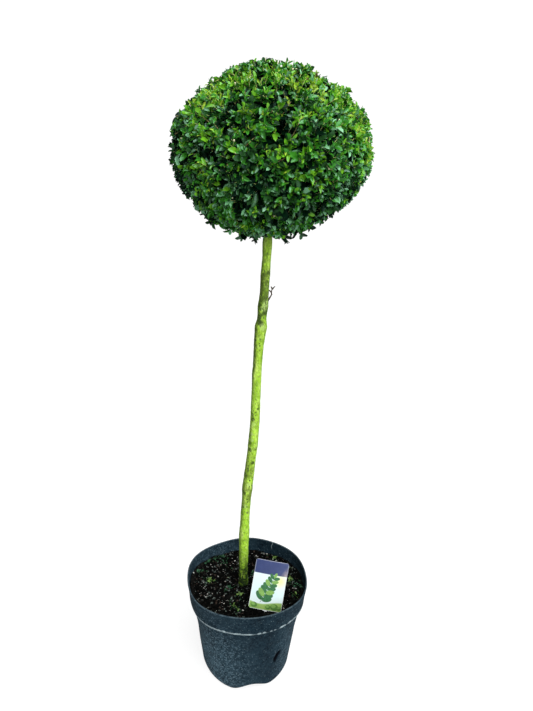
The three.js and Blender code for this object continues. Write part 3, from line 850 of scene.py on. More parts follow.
def makeStemMaterial():
    material, shader, place = newMaterial("algaeBark", Specular_IOR_Level=0.25)
    z = place.axes()[2]
    facing = place.via("ShaderNodeNewGeometry", output="Normal").axes()[0]
    long = stretched(place, 0.45)
    cloud = blotches(long, 75, 0.35, 0.65)
    fine = blotches(long, 430, 0.48, 0.62)
    coarse = blotches(stretched(place, 0.6), 170, 0.5, 0.62)
    base = cloud.ramp(*stemColors["bark"])
    base = layered(base, stemColors, {"fine": fine * 0.5, "coarse": coarse * 0.55})
    base = paintMarks(base, place)
    # films and flecks are thickest in a few stretches of the stem
    film = sum((z.band(low, high, soft) * strength for low, high, soft, strength in stemShape["films"]), 0.12)
    flecks = dots(stretched(place, 0.7), 210, 0.5, 0.12)
    thick = ((blotches(long, 42, 0.4, 0.6) + 0.3) * (film + 0.35)).maths("MINIMUM", 1)
    mottle = blotches(stretched(place, 0.7), 300, 0.46, 0.56)
    streak = blotches(slanted(place, -0.75, 3.5), 240, 0.52, 0.6)
    # the foot is darker, in patches that close up towards the compost
    wet = blotches(place, 150, 0.4, 0.6) * 1.1 + 0.3
    masks = {
        "leftShade": facing.remap(-0.3, -0.72) * (z.band(0.71, 0.845, 0.02) * 0.3 + 0.55),
        "rightShade": facing.remap(0.55, 0.95) * 0.4,
        "mottle": mottle * z.band(0.865, 0.96, 0.01) * 0.75,
        "streak": streak * z.band(0.28, 0.84, 0.04) * 0.45,
        "fleck": flecks * thick,
        "film": (film * blotches(long, 60, 0.38, 0.6)).maths("MINIMUM", 1) * 0.8,
        "darkerFoot": z.remap(0.31, 0.2) * wet * 1.6,
        # painted shade where the stem goes up into the ball
        "top": z.remap(0.99, 1.03) * 0.3,
    }
    layered(base, stemColors, masks).into(shader, "Base Color")
    cloud.remap(start=0.6, end=0.8).into(shader, "Roughness")
    bump(shader, fine - flecks * 0.6, 0.5, 0.0005)
    return material


def makeStem():
    stem = bmesh.new()
    middles = {}

    def place(share, angle):
        if share not in middles:
            lower, upper = stemMiddle(max(share - 0.001, 0)), stemMiddle(min(share + 0.001, 1))
            along = (upper - lower).normalized()
            side = (Vector((1, 0, 0)) - along * along.x).normalized()
            middles[share] = stemMiddle(share), side, along.cross(side)
        middle = middles[share][0]
        radius = stemRadius(share, angle, middle.z) + barkRelief(angle, middle.z)
        return roundAbout(*middles[share], radius, angle)

    wrapGrid(stem, stemShape["rings"], stemShape["sides"], place)
    pieceFromBmesh("mossyStem", stem, [makeStemMaterial()], "stem")


makeStem()
print("stem made")


# Short dead side shoot, forked at its tip

deadTwigShape = {
    "height": 897,
    "radius": 1.9,
    # thickness of the first limb and of the others
    "stoutness": (1.1, 0.85),
    "rings": 14,
    "sides": 10,
    "limbs": [
        [(2.5, 0, -9), (10.2, -1, 3.4), (16.2, -1, 14.8)],
        [(15.8, -1, 17), (12, -1, 21), (8, -1.5, 23.4)],
        [(16, -1, 13), (15.3, -1, 19.4), (16.9, 0, 25.4)],
        [(16.9, 0, 23.8), (15.6, 0, 27.2), (13.7, 0, 29.8)],
        [(16.9, 0, 23.8), (19.2, 0, 27.6), (22.4, 1, 30.1)],
    ],
}


def makeDeadTwig():
    foot = stemMiddle(stemShare(deadTwigShape["height"]))
    twig = bmesh.new()
    for number, line in enumerate(deadTwigShape["limbs"]):
        a, b, c = (Vector(point) + foot for point in line)
        thick = deadTwigShape["radius"] * deadTwigShape["stoutness"][number > 0]
        along = (c - a).normalized()
        side = along.cross(Vector((0, 1, 0))).normalized()

        def place(share, angle):
            middle = a * (1 - share) ** 2 + (2 * b - (a + c) / 2) * 2 * share * (1 - share) + c * share**2
            rough = 1 + 0.25 * noise.noise(Vector((angle, share * 9, number * 5)))
            return roundAbout(middle, side, along.cross(side), thick * (1 - 0.4 * share) * rough, angle)

        wrapGrid(twig, deadTwigShape["rings"], deadTwigShape["sides"], place)
    material = plainMaterial("dryTwigWood", (0.1, 0.085, 0.07), 0.85, 0.5, 300, gloss=0.15)
    pieceFromBmesh("deadTwigWood", twig, [material], "dead_twig")


makeDeadTwig()
print("dead twig made")


# Plant label: a thin card with a printed front and a tail in the compost

labelShape = {
    "width": 74.6,
    "height": 111.5,
    "cornerRadius": 5,
    "thickness": 0.6,
    "bow": 1.6,
    "tailWidth": 16,
    "tailTip": 5,
    "tailLength": 52,
    "foot": (41, -81.5, 207),
    "leanBack": 18,
    "spin": 8.3,
    "columns": 14,
    "rows": 20,
}


def labelPlace():
    foot = Matrix.Translation(labelShape["foot"])
    lean = Matrix.Rotation(-math.radians(labelShape["leanBack"]), 4, "X")
    spin = Matrix.Rotation(math.radians(labelShape["spin"]), 4, "Y")
    return Matrix.Scale(mm, 4) @ foot @ lean @ spin


def labelFacing():
    return labelPlace().to_3x3() @ Vector((0, -1, 0))


def labelBow(x):
    return labelShape["bow"] * ((2 * x / labelShape["width"]) ** 2 - 0.5)


# The printed front: a blue head over a pale panel with a glow, a meadow and a border
labelColors = {
    "panel": [(0, (0.78, 0.88, 0.86)), (0.35, (0.66, 0.86, 0.88)), (0.75, (0.74, 0.91, 0.95))],
    "haze": (0.95, 0.98, 0.97),
    "glow": (0.85, 0.86, 0.24),
    "meadow": [(0, (0.2, 0.42, 0.09)), (1, (0.42, 0.6, 0.16))],
    "head": [(0, (0.03, 0.05, 0.165)), (0.55, (0.05, 0.075, 0.2)), (0.85, (0.36, 0.31, 0.32))],
    "worn": (0.018, 0.035, 0.125),
    "panelBorder": (0.84, 0.88, 0.88),
    "headBorder": (0.35, 0.38, 0.5),
    "back": (0.82, 0.84, 0.83),
}


def makeLabelMaterials():
    colors = labelColors
    front, shader, place = newMaterial("printedCard", Roughness=0.3, Specular_IOR_Level=0.5)
    sheet = place.via("ShaderNodeUVMap", uv_map="print")
    across, upward, _ = sheet.axes()
    soft = blotches(sheet, 4, 0.3, 0.7)
    aside, above = across - 0.82, (upward - 0.62) * 1.45
    glow = (aside * aside + above * above).maths("SQRT").remap(0.04, 0.26, 1, 0)
    field = (upward + (across * 5).maths("SINE") * 0.035).band(-1, 0.15, 0.012)
    panel = layered(upward.ramp(*colors["panel"]), colors, {"haze": soft * 0.25, "glow": glow * 0.75})
    panel = field.mix(panel, soft.ramp(*colors["meadow"]))
    head = (across - upward).remap(-0.3, 0.3).ramp(*colors["head"])
    head = layered(head, colors, {"worn": blotches(sheet, 9, 0.35, 0.6) * 0.55})
    split = upward.remap(0.72, 0.726)
    border = split.mix(colors["panelBorder"], colors["headBorder"])
    inside = across.band(0.012, 0.988, 0.004) * upward.band(0.009, 0.991, 0.003)
    inside.mix(border, split.mix(panel, head)).into(shader, "Base Color")
    bump(shader, blotches(place, 500, 0.3, 0.7), 0.05, 0.0002)
    return front, plainMaterial("cardBack", colors["back"], 0.45, 0.04, 60)


def makeLabel():
    shape = labelShape
    width, height = shape["width"], shape["height"]
    card = bmesh.new()
    upright = Matrix.Diagonal((width, 1, height, 1)) @ Matrix.Rotation(math.pi / 2, 4, "X")
    stand = Matrix.Translation((0, 0, height / 2)) @ upright
    columns, rows = shape["columns"], shape["rows"]
    bmesh.ops.create_grid(card, x_segments=columns, y_segments=rows, size=0.5, matrix=stand)
    corners = [v for v in card.verts if len(v.link_edges) == 2]
    rounding = {"affect": "VERTICES", "offset": shape["cornerRadius"], "offset_type": "OFFSET"}
    bmesh.ops.bevel(card, geom=corners, segments=6, profile=0.5, material=-1, **rounding)
    # the tail grows from the middle of the foot edge
    tailTop = {v for v in card.verts if v.co.z < 0.01 and abs(v.co.x) < shape["tailWidth"] / 2 + 1}
    foot = [edge for edge in card.edges if edge.is_boundary and tailTop.issuperset(edge.verts)]
    grown = bmesh.ops.extrude_edge_only(card, edges=foot)["geom"]
    for item in grown:
        if isinstance(item, bmesh.types.BMVert):
            item.co = (item.co.x * shape["tailTip"] / shape["tailWidth"], 0, -shape["tailLength"])
    sheet = card.loops.layers.uv.new("print")
    for face in card.faces:
        for loop in face.loops:
            loop[sheet].uv = (loop.vert.co.x / width + 0.5, loop.vert.co.z / height)
    for vert in card.verts:
        vert.co.y += labelBow(vert.co.x) if vert.co.z > -1 else labelBow(0)
    bmesh.ops.recalc_face_normals(card, faces=card.faces)
    if sum(face.normal.y for face in card.faces) > 0:
        bmesh.ops.reverse_faces(card, faces=card.faces)
    bmesh.ops.solidify(card, geom=list(card.faces), thickness=shape["thickness"])
    bmesh.ops.transform(card, matrix=labelPlace(), verts=card.verts)
    facing = labelFacing()
    for face in card.faces:
        printed = face.normal.dot(facing) > 0 and face.calc_center_median().z > 0.2
        face.material_index = 0 if printed else 1
    pieceFromBmesh("labelCard", card, makeLabelMaterials(), "plant_label", smooth=False)


# The printed picture: a leaning sprig with round leaves and a row of low mounds, as thin inked shapes
labelPicture = {
    "ink": 0.12,
    "sprigFoot": (-14, 14),
    "sprigTip": (10, 76),
    "sprigPairs": 7,
    "sprigLeaf": (10.5, 5.6),
    "mounds": [(-26, 9, 7.5), (20, 10, 9), (31, 8, 5), (6, 8, 6)],
    "inks": [
        ("deepGreenInk", (0.04, 0.16, 0.06), 0.4),
        ("mossGreenInk", (0.1, 0.24, 0.05), 0.3),
        ("leafGreenInk", (0.22, 0.42, 0.1), 0.3),
    ],
}


def inkShape(shape, x, z, halfWidth, halfHeight, turn, material):
    lie = Matrix.Rotation(math.pi / 2, 4, "X") @ Matrix.Diagonal((halfWidth, halfHeight, 1, 1))
    stand = Matrix.Translation((x, 0, z)) @ Matrix.Rotation(turn, 4, "Y") @ lie
    made = bmesh.ops.create_circle(shape, cap_ends=True, segments=14, radius=1, matrix=stand)["verts"]
    ink = labelPicture["ink"] * (1 + 0.15 * material)
    for vert in made:
        vert.co.y = labelBow(vert.co.x) - labelShape["thickness"] / 2 - ink
    for face in {face for vert in made for face in vert.link_faces}:
        face.material_index = material


def makeLabelPicture():
    shape = labelPicture
    picture = bmesh.new()
    for x, z, size in shape["mounds"]:
        inkShape(picture, x, z, size, size * 0.8, 0, 1)
        inkShape(picture, x - size * 0.2, z + size * 0.2, size * 0.6, size * 0.45, 0, 2)
    foot, tip = Vector(shape["sprigFoot"]), Vector(shape["sprigTip"])
    lean = math.atan2(tip.x - foot.x, tip.y - foot.y)
    middle = (foot + tip) / 2
    inkShape(picture, middle.x, middle.y, 0.8, (tip - foot).length / 2, lean, 0)
    for pair in range(shape["sprigPairs"]):
        share = (pair + 1) / (shape["sprigPairs"] + 0.5)
        at = foot.lerp(tip, share)
        long, wide = (size * (1.15 - 0.5 * share) for size in shape["sprigLeaf"])
        for side in (-1, 1):
            turn = lean + side
            x, z = at.x + math.sin(turn) * long, at.y + math.cos(turn) * long
            inkShape(picture, x, z, wide, long, turn, 0 if (pair + side) % 3 else 2)
    inkShape(picture, tip.x + math.sin(lean) * 5, tip.y + math.cos(lean) * 5, 3.2, 6, lean, 2)
    bmesh.ops.transform(picture, matrix=labelPlace(), verts=picture.verts)
    for face in picture.faces:
        face.normal_update()
        if face.normal.dot(labelFacing()) < 0:
            face.normal_flip()
    inks = [plainMaterial(name, color, 0.35, spread, 300) for name, color, spread in shape["inks"]]
    finishPiece("labelPicture", meshFrom(picture, "labelPicture"), inks, "plant_label", smooth=False)


makeLabel()
makeLabelPicture()
print("label made")


# Ball of foliage: boughs from the stem's top, and ever finer twigs, by the solid's own rule

ball = {
    "centre": (25, 0, 1173),
    "halfWidth": 186,
    "halfHeight": 147,
    "unevenness": 0.016,
    # where the shears left it fuller or cut it closer: bearing, rise, spread, reach
    "fullness": [
        (0, -48, 30, -13), (0, -75, 25, 7), (180, -75, 25, 5), (180, 10, 22, 6.5), (180, 40, 22, -4),
        (0, 90, 35, 8),
    ],
}

growth = {
    "seed": 2024,
    "boughs": {"count": 15, "turn": 0.4, "points": 14, "tipInset": 82, "radius": (5.2, 2.6),
               "low": 1060, "high": 1112},
    "branches": {"count": 130, "turn": 1.3, "points": 8, "tipInset": 58, "radius": (2.4, 1.4), "lift": 0.25},
    "twigs": {"count": 760, "turn": 2.1, "points": 6, "tipInset": 40, "radius": (1.2, 0.8), "lift": 0.22},
    "shoots": {"count": 6000, "radius": (0.75, 0.45), "length": 33, "lift": 0.2, "wander": 0.5},
    "looseShoots": {"radius": (1.0, 0.7)},
    "shootTipInset": (0, 8),
    "strayInset": 6.0,
    # shoots gather in sprays, and each spray stands at its own depth
    "sprays": 720,
    "gather": 0.38,
    "sprayInset": (-2, 10),
    "lowInset": 2.5,
    "cutShare": 0.22,
    "stubShare": 0.032,
    "deepShare": 0.22,
    "deepInset": (22, 48),
    # pits empty the shoots that end less deep than this
    "shallow": 30,
    "hollows": 120,
    "hollowRadius": (6, 15),
    # bearing, rise and radius
    "darkGaps": [
        (-132, -1, 17), (-121, -3, 17), (-84, 8, 15), (-82, 18, 13), (-111, 20, 13), (-91, 26, 13),
        (-63, 6, 13), (-115, 10, 14), (-113, -36, 16), (-40, -30, 16), (-55, -38, 13), (-75, -30, 12),
        (-96, -14, 12),
    ],
    # how young and so how light the leaves of a shoot are: everywhere, by where it stands, with painted light
    # on the right, and less deep down or hanging, which is painted shade
    "youth": {"all": 0.33, "upward": 0.2, "rightward": 0.12, "clumps": 0.2, "chance": 0.2, "inner": 0.01,
              "hangingShade": 0.35},
    "witheredShare": 0.001,
    # pale leaves are a painted sheen, more of them low down and to the right
    "paleSheenShare": {"all": 0.05, "lower": 0.2, "rightward": 0.1},
    # where more or fewer of the leaves are young, partly painted light and shade over the ball: bearing,
    # rise, spread and how much
    "youngPatches": [
        (-134, 25, 28, 0.4), (-110, 48, 25, 0.16), (-22, 2, 34, 0.28), (14, 0, 22, -0.22),
        (-55, 38, 25, 0.22), (100, 40, 40, 0.1), (0, 90, 36, -0.26), (-120, -40, 30, 0.28),
        (-85, -72, 26, 0.24), (-42, -34, 24, -0.4), (-165, 0, 28, -0.26), (-75, -5, 25, -0.08),
    ],
    # some of the outermost shoots lie along the outline, with bare brown wood
    "outermost": 20,
    "looseShare": 0.06,
    "looseWander": 2.6,
    "proud": 4.5,
    "stemClear": 13,
    "stubEnd": {"along": [-3, 0, 1.6], "radii": [0.7, 1.7, 1.1]},
}

leafShape = {
    "length": 15,
    "width": 7.5,
    "sizeAt": (1.1, -0.2),
    "stations": [(0.14, 0.3), (0.46, 0.5), (0.83, 0.37)],
    "fold": 0.2,
    "droop": 0.16,
    "pairs": [1.2, 6, 11.5, 18],
    "pairSize": [0.64, 0.94, 1.06, 1.04],
    "spread": [0.5, 0.8, 1.05, 1.2],
    # leaves past this tint are younger, so shorter and narrower
    "youngTint": 0.62,
    "youngLength": 0.8,
    "youngWidth": 0.68,
    "strayLength": 1.2,
    "leastLength": 0.42,
    # how much they differ by chance
    "chance": {"around": 0.22, "spread": 0.16, "size": 0.15, "tint": 0.16, "width": 0.08},
    # leaves get painted shade from this far in, and again in the dark gaps
    "innerFrom": 12,
    "innerShade": 0.03,
    "gapFrom": 8,
    "gapShade": 0.8,
    "gapReach": 1.25,
    "roughness": 0.21,
    "shine": (0.6, 1, 0.8, 1),
}

# Bearing round the ball from +X, rise above its middle, and how far past the clipped outline
strays = np.array([
    (4, 82, 9), (-4, 41, 9), (2, 19, 6), (18, -28, 8), (3, -51, 10), (-6, -66, 11), (-20, -77, 10),
    (12, -58, 10), (178, -70, 10), (-177, -47, 10), (177, -40, 7), (172, -80, 8), (120, 30, 6), (9, -42, 9),
    (-150, -58, 6),
], float)

# Color and gloss, and for the kinds by age the tint where each begins
leafKinds = {
    "shade": ((0.002, 0.016, 0.006), 0.15, -9),
    "deep": ((0.024, 0.098, 0.022), 1, -0.08),
    "green": ((0.048, 0.27, 0.02), 1, 0.2),
    "fresh": ((0.16, 0.46, 0.02), 0.8, 0.46),
    "young": ((0.38, 0.6, 0.05), 0.5, 0.76),
    # pale leaves are a painted sheen
    "pale": ((0.22, 0.53, 0.27), 1, None),
    "withered": ((0.14, 0.1, 0.035), 0.3, None),
}

# Color, roughness, spread of shades, scale of the mottling and gloss
barks = {
    "boughBark": ((0.11, 0.09, 0.045), 0.85, 0.4, 200, 0.35),
    "twigBark": ((0.34, 0.32, 0.15), 0.8, 0.35, 300, 0.35),
    "shootBark": ((0.5, 0.6, 0.2), 0.7, 0.35, 300, 0.35),
    "looseShootBark": ((0.46, 0.4, 0.17), 0.75, 0.35, 300, 0.35),
    "cutWood": ((0.74, 0.76, 0.46), 0.7, 0.15, 300, 0.2),
}

centre = np.array(ball["centre"], float)
darkGaps = np.array(growth["darkGaps"], float)
random = np.random.default_rng(growth["seed"])


def pointing(bearing, rise):
    bearing, rise = np.radians(bearing), np.radians(rise)
    return np.stack([np.cos(bearing) * np.cos(rise), np.sin(bearing) * np.cos(rise), np.sin(rise)], -1)


# Soft round patches on the ball: bearing, rise, spread in degrees and strength
def patchesOver(direction, patches):
    total = np.zeros(len(direction))
    for bearing, rise, spread, strength in patches:
        away = np.degrees(np.arccos(np.clip(direction @ pointing(bearing, rise), -1, 1)))
        total += strength * np.exp(-((away / spread) ** 2))
    return total


def outlineAt(direction):
    flat = np.hypot(direction[:, 0], direction[:, 1]) / ball["halfWidth"]
    tall = direction[:, 2] / ball["halfHeight"]
    bearing = np.arctan2(direction[:, 1], direction[:, 0])
    rise = np.arcsin(np.clip(direction[:, 2], -1, 1))
    uneven = np.cos(rise) * np.sin(3 * bearing + 1.1) * np.cos(2 * rise)
    uneven += np.cos(rise) * np.sin(5 * bearing + 4 * rise) * 0.6
    reach = (1 + ball["unevenness"] * uneven) / np.hypot(flat, tall)
    return reach + patchesOver(direction, ball["fullness"])


def outlinePoints(direction, inset=0):
    return centre + direction * (outlineAt(direction) - inset)[:, None]


def proudOf(points):
    arm = points - centre
    distance = np.linalg.norm(arm, axis=1)
    return distance - outlineAt(arm / np.maximum(distance, 1e-9)[:, None])


# Even directions over the ball, thinned where its flattened top would take too many
def spreadDirections(count, turn):
    index = np.arange(count) + 0.5
    rise = np.degrees(np.arcsin(1 - 2 * index / count))
    direction = pointing(np.degrees(index * goldenAngle + turn), rise)
    keep = random.uniform(0, 1, count) < (outlineAt(direction) / ball["halfWidth"]) ** 2 * 1.02
    return direction[keep]


def bendPaths(start, control, end, points):
    t = np.linspace(0, 1, points)[None, :, None]
    return start[:, None] * (1 - t) ** 2 + control[:, None] * 2 * t * (1 - t) + end[:, None] * t**2


def taper(radius, count, points):
    return np.repeat(np.linspace(radius[0], radius[1], points)[None], count, axis=0)


# For each point the nearest candidate, where one that lies further out than the point counts as further off
def nearest(points, candidates, weight):
    found = []
    for chunk in np.array_split(points, max(1, len(points) // 200)):
        distance = np.linalg.norm(chunk[:, None] - candidates[None], axis=2)
        depth = np.linalg.norm(chunk - centre, axis=1)
        outward = np.linalg.norm(candidates - centre, axis=1)[None] - depth[:, None]
        found.append(np.argmin(distance + weight * np.maximum(outward, 0), axis=1))
    return np.concatenate(found)


def growBoughs():
    rule = growth["boughs"]
    direction = spreadDirections(rule["count"], rule["turn"])
    tips = outlinePoints(direction, rule["tipInset"])
    height = rule["low"] + (rule["high"] - rule["low"]) * (direction[:, 2] * 0.5 + 0.5)
    starts = np.array([stemMiddle(stemShare(z)) for z in height])
    reach = np.linalg.norm(tips - starts, axis=1, keepdims=True)
    control = starts + unit((tips - starts) * [1, 1, 0.3] + [0, 0, 20]) * reach * 0.5
    paths = bendPaths(starts, control, tips, rule["points"])
    return paths + random.normal(0, 1.3, paths.shape) * np.linspace(0, 1, rule["points"])[None, :, None]


def growFrom(parents, rule):
    direction = spreadDirections(rule["count"], rule["turn"])
    tips = outlinePoints(direction, rule["tipInset"])
    tips += random.normal(0, 4, tips.shape)
    candidates = parents[:, parents.shape[1] // 3 :].reshape(-1, 3)
    starts = candidates[nearest(tips, candidates, 1.5)]
    axis = unit(direction + [0, 0, rule["lift"]])
    reach = np.linalg.norm(tips - starts, axis=1, keepdims=True)
    return bendPaths(starts, tips - axis * reach * 0.45, tips, rule["points"])


def clearOfStem(points):
    line = np.array(stemShape["line"])
    x = np.interp(points[:, 2], line[:, 2], line[:, 0])
    y = np.interp(points[:, 2], line[:, 2], line[:, 1])
    away = np.hypot(points[:, 0] - x, points[:, 1] - y)
    return (away > growth["stemClear"]) | (points[:, 2] > line[-1, 2] + growth["stemClear"])


boughPaths = growBoughs()
branchPaths = growFrom(boughPaths, growth["branches"])
twigPaths = growFrom(branchPaths, growth["twigs"])


def growShoots():
    rule = growth["shoots"]
    direction = spreadDirections(rule["count"], 0)
    count = len(direction)
    inset = random.uniform(*growth["shootTipInset"], count)
    sprays = spreadDirections(growth["sprays"], 2.7)
    sprays = unit(sprays + random.normal(0, 0.025, sprays.shape))
    spray = np.argmax(direction @ sprays.T, axis=1)
    direction = unit(direction * (1 - growth["gather"]) + sprays[spray] * growth["gather"])
    inset += random.uniform(*growth["sprayInset"], len(sprays))[spray] - growth["lowInset"] * direction[:, 2]
    deep = random.uniform(0, 1, count) < growth["deepShare"]
    inset[deep] = random.uniform(*growth["deepInset"], deep.sum())
    direction = np.concatenate([direction, pointing(strays[:, 0], strays[:, 1])])
    inset = np.concatenate([inset, np.full(len(strays), growth["strayInset"])])
    reach = np.concatenate([np.zeros(count), strays[:, 2]])
    tips = outlinePoints(direction, inset - reach)
    # pits where the shears or the shade have left no leaves
    pits = spreadDirections(growth["hollows"], 0.9)
    pits = unit(pits + random.normal(0, 0.12, pits.shape))
    pitRadius = random.uniform(*growth["hollowRadius"], len(pits))
    pits = np.concatenate([pits, pointing(darkGaps[:, 0], darkGaps[:, 1])])
    pitRadius = np.concatenate([pitRadius, darkGaps[:, 2]])
    gap = np.linalg.norm(tips[:, None] - outlinePoints(pits)[None], axis=2) - pitRadius[None]
    shallow = (inset < growth["shallow"]) & (reach == 0)
    keep = ~(shallow & (gap.min(axis=1) < 0)) & clearOfStem(tips)
    direction, tips, inset, reach = direction[keep], tips[keep], inset[keep], reach[keep]
    outer = (inset < growth["outermost"]) & (reach == 0)
    loose = (random.uniform(0, 1, len(tips)) < growth["looseShare"]) & outer
    wander = rule["wander"] * np.where(reach > 0, 0.3, np.where(loose, growth["looseWander"], 1))[:, None]
    axis = unit(direction + [0, 0, rule["lift"]] + wander * random.uniform(-1, 1, direction.shape))
    candidates = twigPaths[:, 2:].reshape(-1, 3)
    starts = candidates[nearest(tips - axis * rule["length"], candidates, 2)]
    roots = tips - axis * rule["length"] * random.uniform(0.8, 1.15, (len(tips), 1))
    stub = (random.uniform(0, 1, len(tips)) < growth["stubShare"]) & outer
    grown = {"starts": starts, "roots": roots, "tips": tips, "directions": direction}
    return SimpleNamespace(**grown, insets=inset, reach=reach, stubs=stub, loose=loose)


shoots = growShoots()
print("grown:", len(boughPaths), "boughs,", len(branchPaths), "branches")
print("grown:", len(twigPaths), "twigs,", len(shoots.tips), "shoots,", shoots.stubs.sum(), "cut stubs")


def ballPiece(name, corners, triangles, material):
    pieceFromCopies(name, corners, triangles, material, "clipped_ball")


def makeWood():
    wood = {name: plainMaterial(name, *values) for name, values in barks.items()}
    shootPaths = bendPaths(shoots.starts, shoots.roots, shoots.tips, 5)
    rules = [
        ("boughs", boughPaths, 10, "boughBark"),
        ("branches", branchPaths, 7, "boughBark"),
        ("twigs", twigPaths, 5, "twigBark"),
        ("shoots", shootPaths[~shoots.loose], 3, "shootBark"),
        ("looseShoots", shootPaths[shoots.loose], 4, "looseShootBark"),
    ]
    for name, paths, sides, bark in rules:
        count, points, _ = paths.shape
        corners = limbCorners(paths, taper(growth[name]["radius"], count, points), sides)
        ballPiece("ball" + name[0].upper() + name[1:], corners, limbTriangles(points, sides), wood[bark])
    # the shears leave pale ends on some shoots
    tips, roots = shoots.tips[shoots.stubs], shoots.roots[shoots.stubs]
    along, radii = growth["stubEnd"]["along"], growth["stubEnd"]["radii"]
    paths = tips[:, None] + unit(tips - roots)[:, None] * np.array(along)[None, :, None]
    radii = np.array(radii)[None] * random.uniform(0.7, 1.2, (len(tips), 1))
    ballPiece("cutEnds", limbCorners(paths, radii, 5), limbTriangles(len(along), 5), wood["cutWood"])


def leafTemplate():
    points = [(0, 0, 0)]
    for along, half in leafShape["stations"]:
        sag = -leafShape["droop"] * along**2
        raised = sag + leafShape["fold"] * half * 2
        points += [(-half, along, raised), (0, along, sag), (half, along, raised)]
    points.append((0, 1, -leafShape["droop"]))
    faces = [(0, 2, 1), (0, 3, 2)]
    for row in range(len(leafShape["stations"]) - 1):
        left = 1 + 3 * row
        for side in (0, 1):
            a, b, c, d = left + side, left + side + 1, left + side + 4, left + side + 3
            faces += [(a, b, c), (a, c, d)]
    last = len(points) - 1
    faces += [(last - 3, last - 2, last), (last - 2, last - 1, last)]
    return np.array(points), np.array(faces)


def growLeaves():
    starts, roots, tips = shoots.starts, shoots.roots, shoots.tips
    count = len(tips)
    cut = (random.uniform(0, 1, count) < growth["cutShare"]) & (shoots.reach == 0)
    length = np.linalg.norm(tips - roots, axis=1) + np.linalg.norm(roots - starts, axis=1) * 0.6
    first = unit(np.cross(unit(tips - roots), unit(random.normal(0, 1, (count, 3)))))
    height = shoots.directions[:, 2]
    patch = np.sin(shoots.tips @ [0.021, 0.017, 0.026] + 1) * np.sin(shoots.tips @ [-0.015, 0.024, 0.019])
    rule = growth["youth"]
    # the rightward term is painted light on the ball's right side
    youth = rule["all"] + rule["upward"] * height + rule["rightward"] * shoots.directions[:, 0]
    youth += rule["clumps"] * patch + random.normal(0, rule["chance"], count)
    youth += patchesOver(shoots.directions, growth["youngPatches"])
    # shoots deep in and hanging strays get painted shade
    youth -= rule["inner"] * np.maximum(shoots.insets - 16, 0)
    youth -= rule["hangingShade"] * ((shoots.reach > 0) & (height < -0.3))
    chance = leafShape["chance"]
    parts = []
    for pair, distance in enumerate(leafShape["pairs"]):
        t = np.clip(1 - distance / length, 0.05, 1)[:, None]
        base = starts * (1 - t) ** 2 + roots * 2 * t * (1 - t) + tips * t**2
        axis = unit((roots - starts) * (1 - t) + (tips - roots) * t)
        side = unit(first - axis * np.sum(first * axis, axis=1, keepdims=True))
        across = np.cross(axis, side)
        for member in (0, 1):
            around = pair * math.pi / 2 + member * math.pi
            around = around + random.normal(0, chance["around"], count)[:, None]
            outward = np.cos(around) * side + np.sin(around) * across
            spread = leafShape["spread"][pair] + random.normal(0, chance["spread"], count)[:, None]
            heading = unit(axis * np.cos(spread) + outward * np.sin(spread))
            size = leafShape["pairSize"][pair] * random.normal(1, chance["size"], count)
            size = np.clip(size, 0.45, 1.4) * leafShape["length"]
            size *= leafShape["sizeAt"][0] + leafShape["sizeAt"][1] * height
            size = np.where(shoots.reach > 0, size * leafShape["strayLength"], size)
            # cut shoots have lost their outer leaves, and loose ones the innermost
            bare = (cut & (pair == 0)) | (shoots.stubs & (pair < 2)) | (shoots.loose & (pair > 2))
            size = np.where(bare, 0, size)
            light = axis * 0.7 + shoots.directions * 0.35 + [0, 0, 0.35]
            tint = youth - 0.1 * pair + random.normal(0, chance["tint"], count)
            size = np.where(tint > leafShape["youngTint"], size * leafShape["youngLength"], size)
            parts.append((base, heading, light, size, tint))
    return [np.concatenate(column) for column in zip(*parts)]


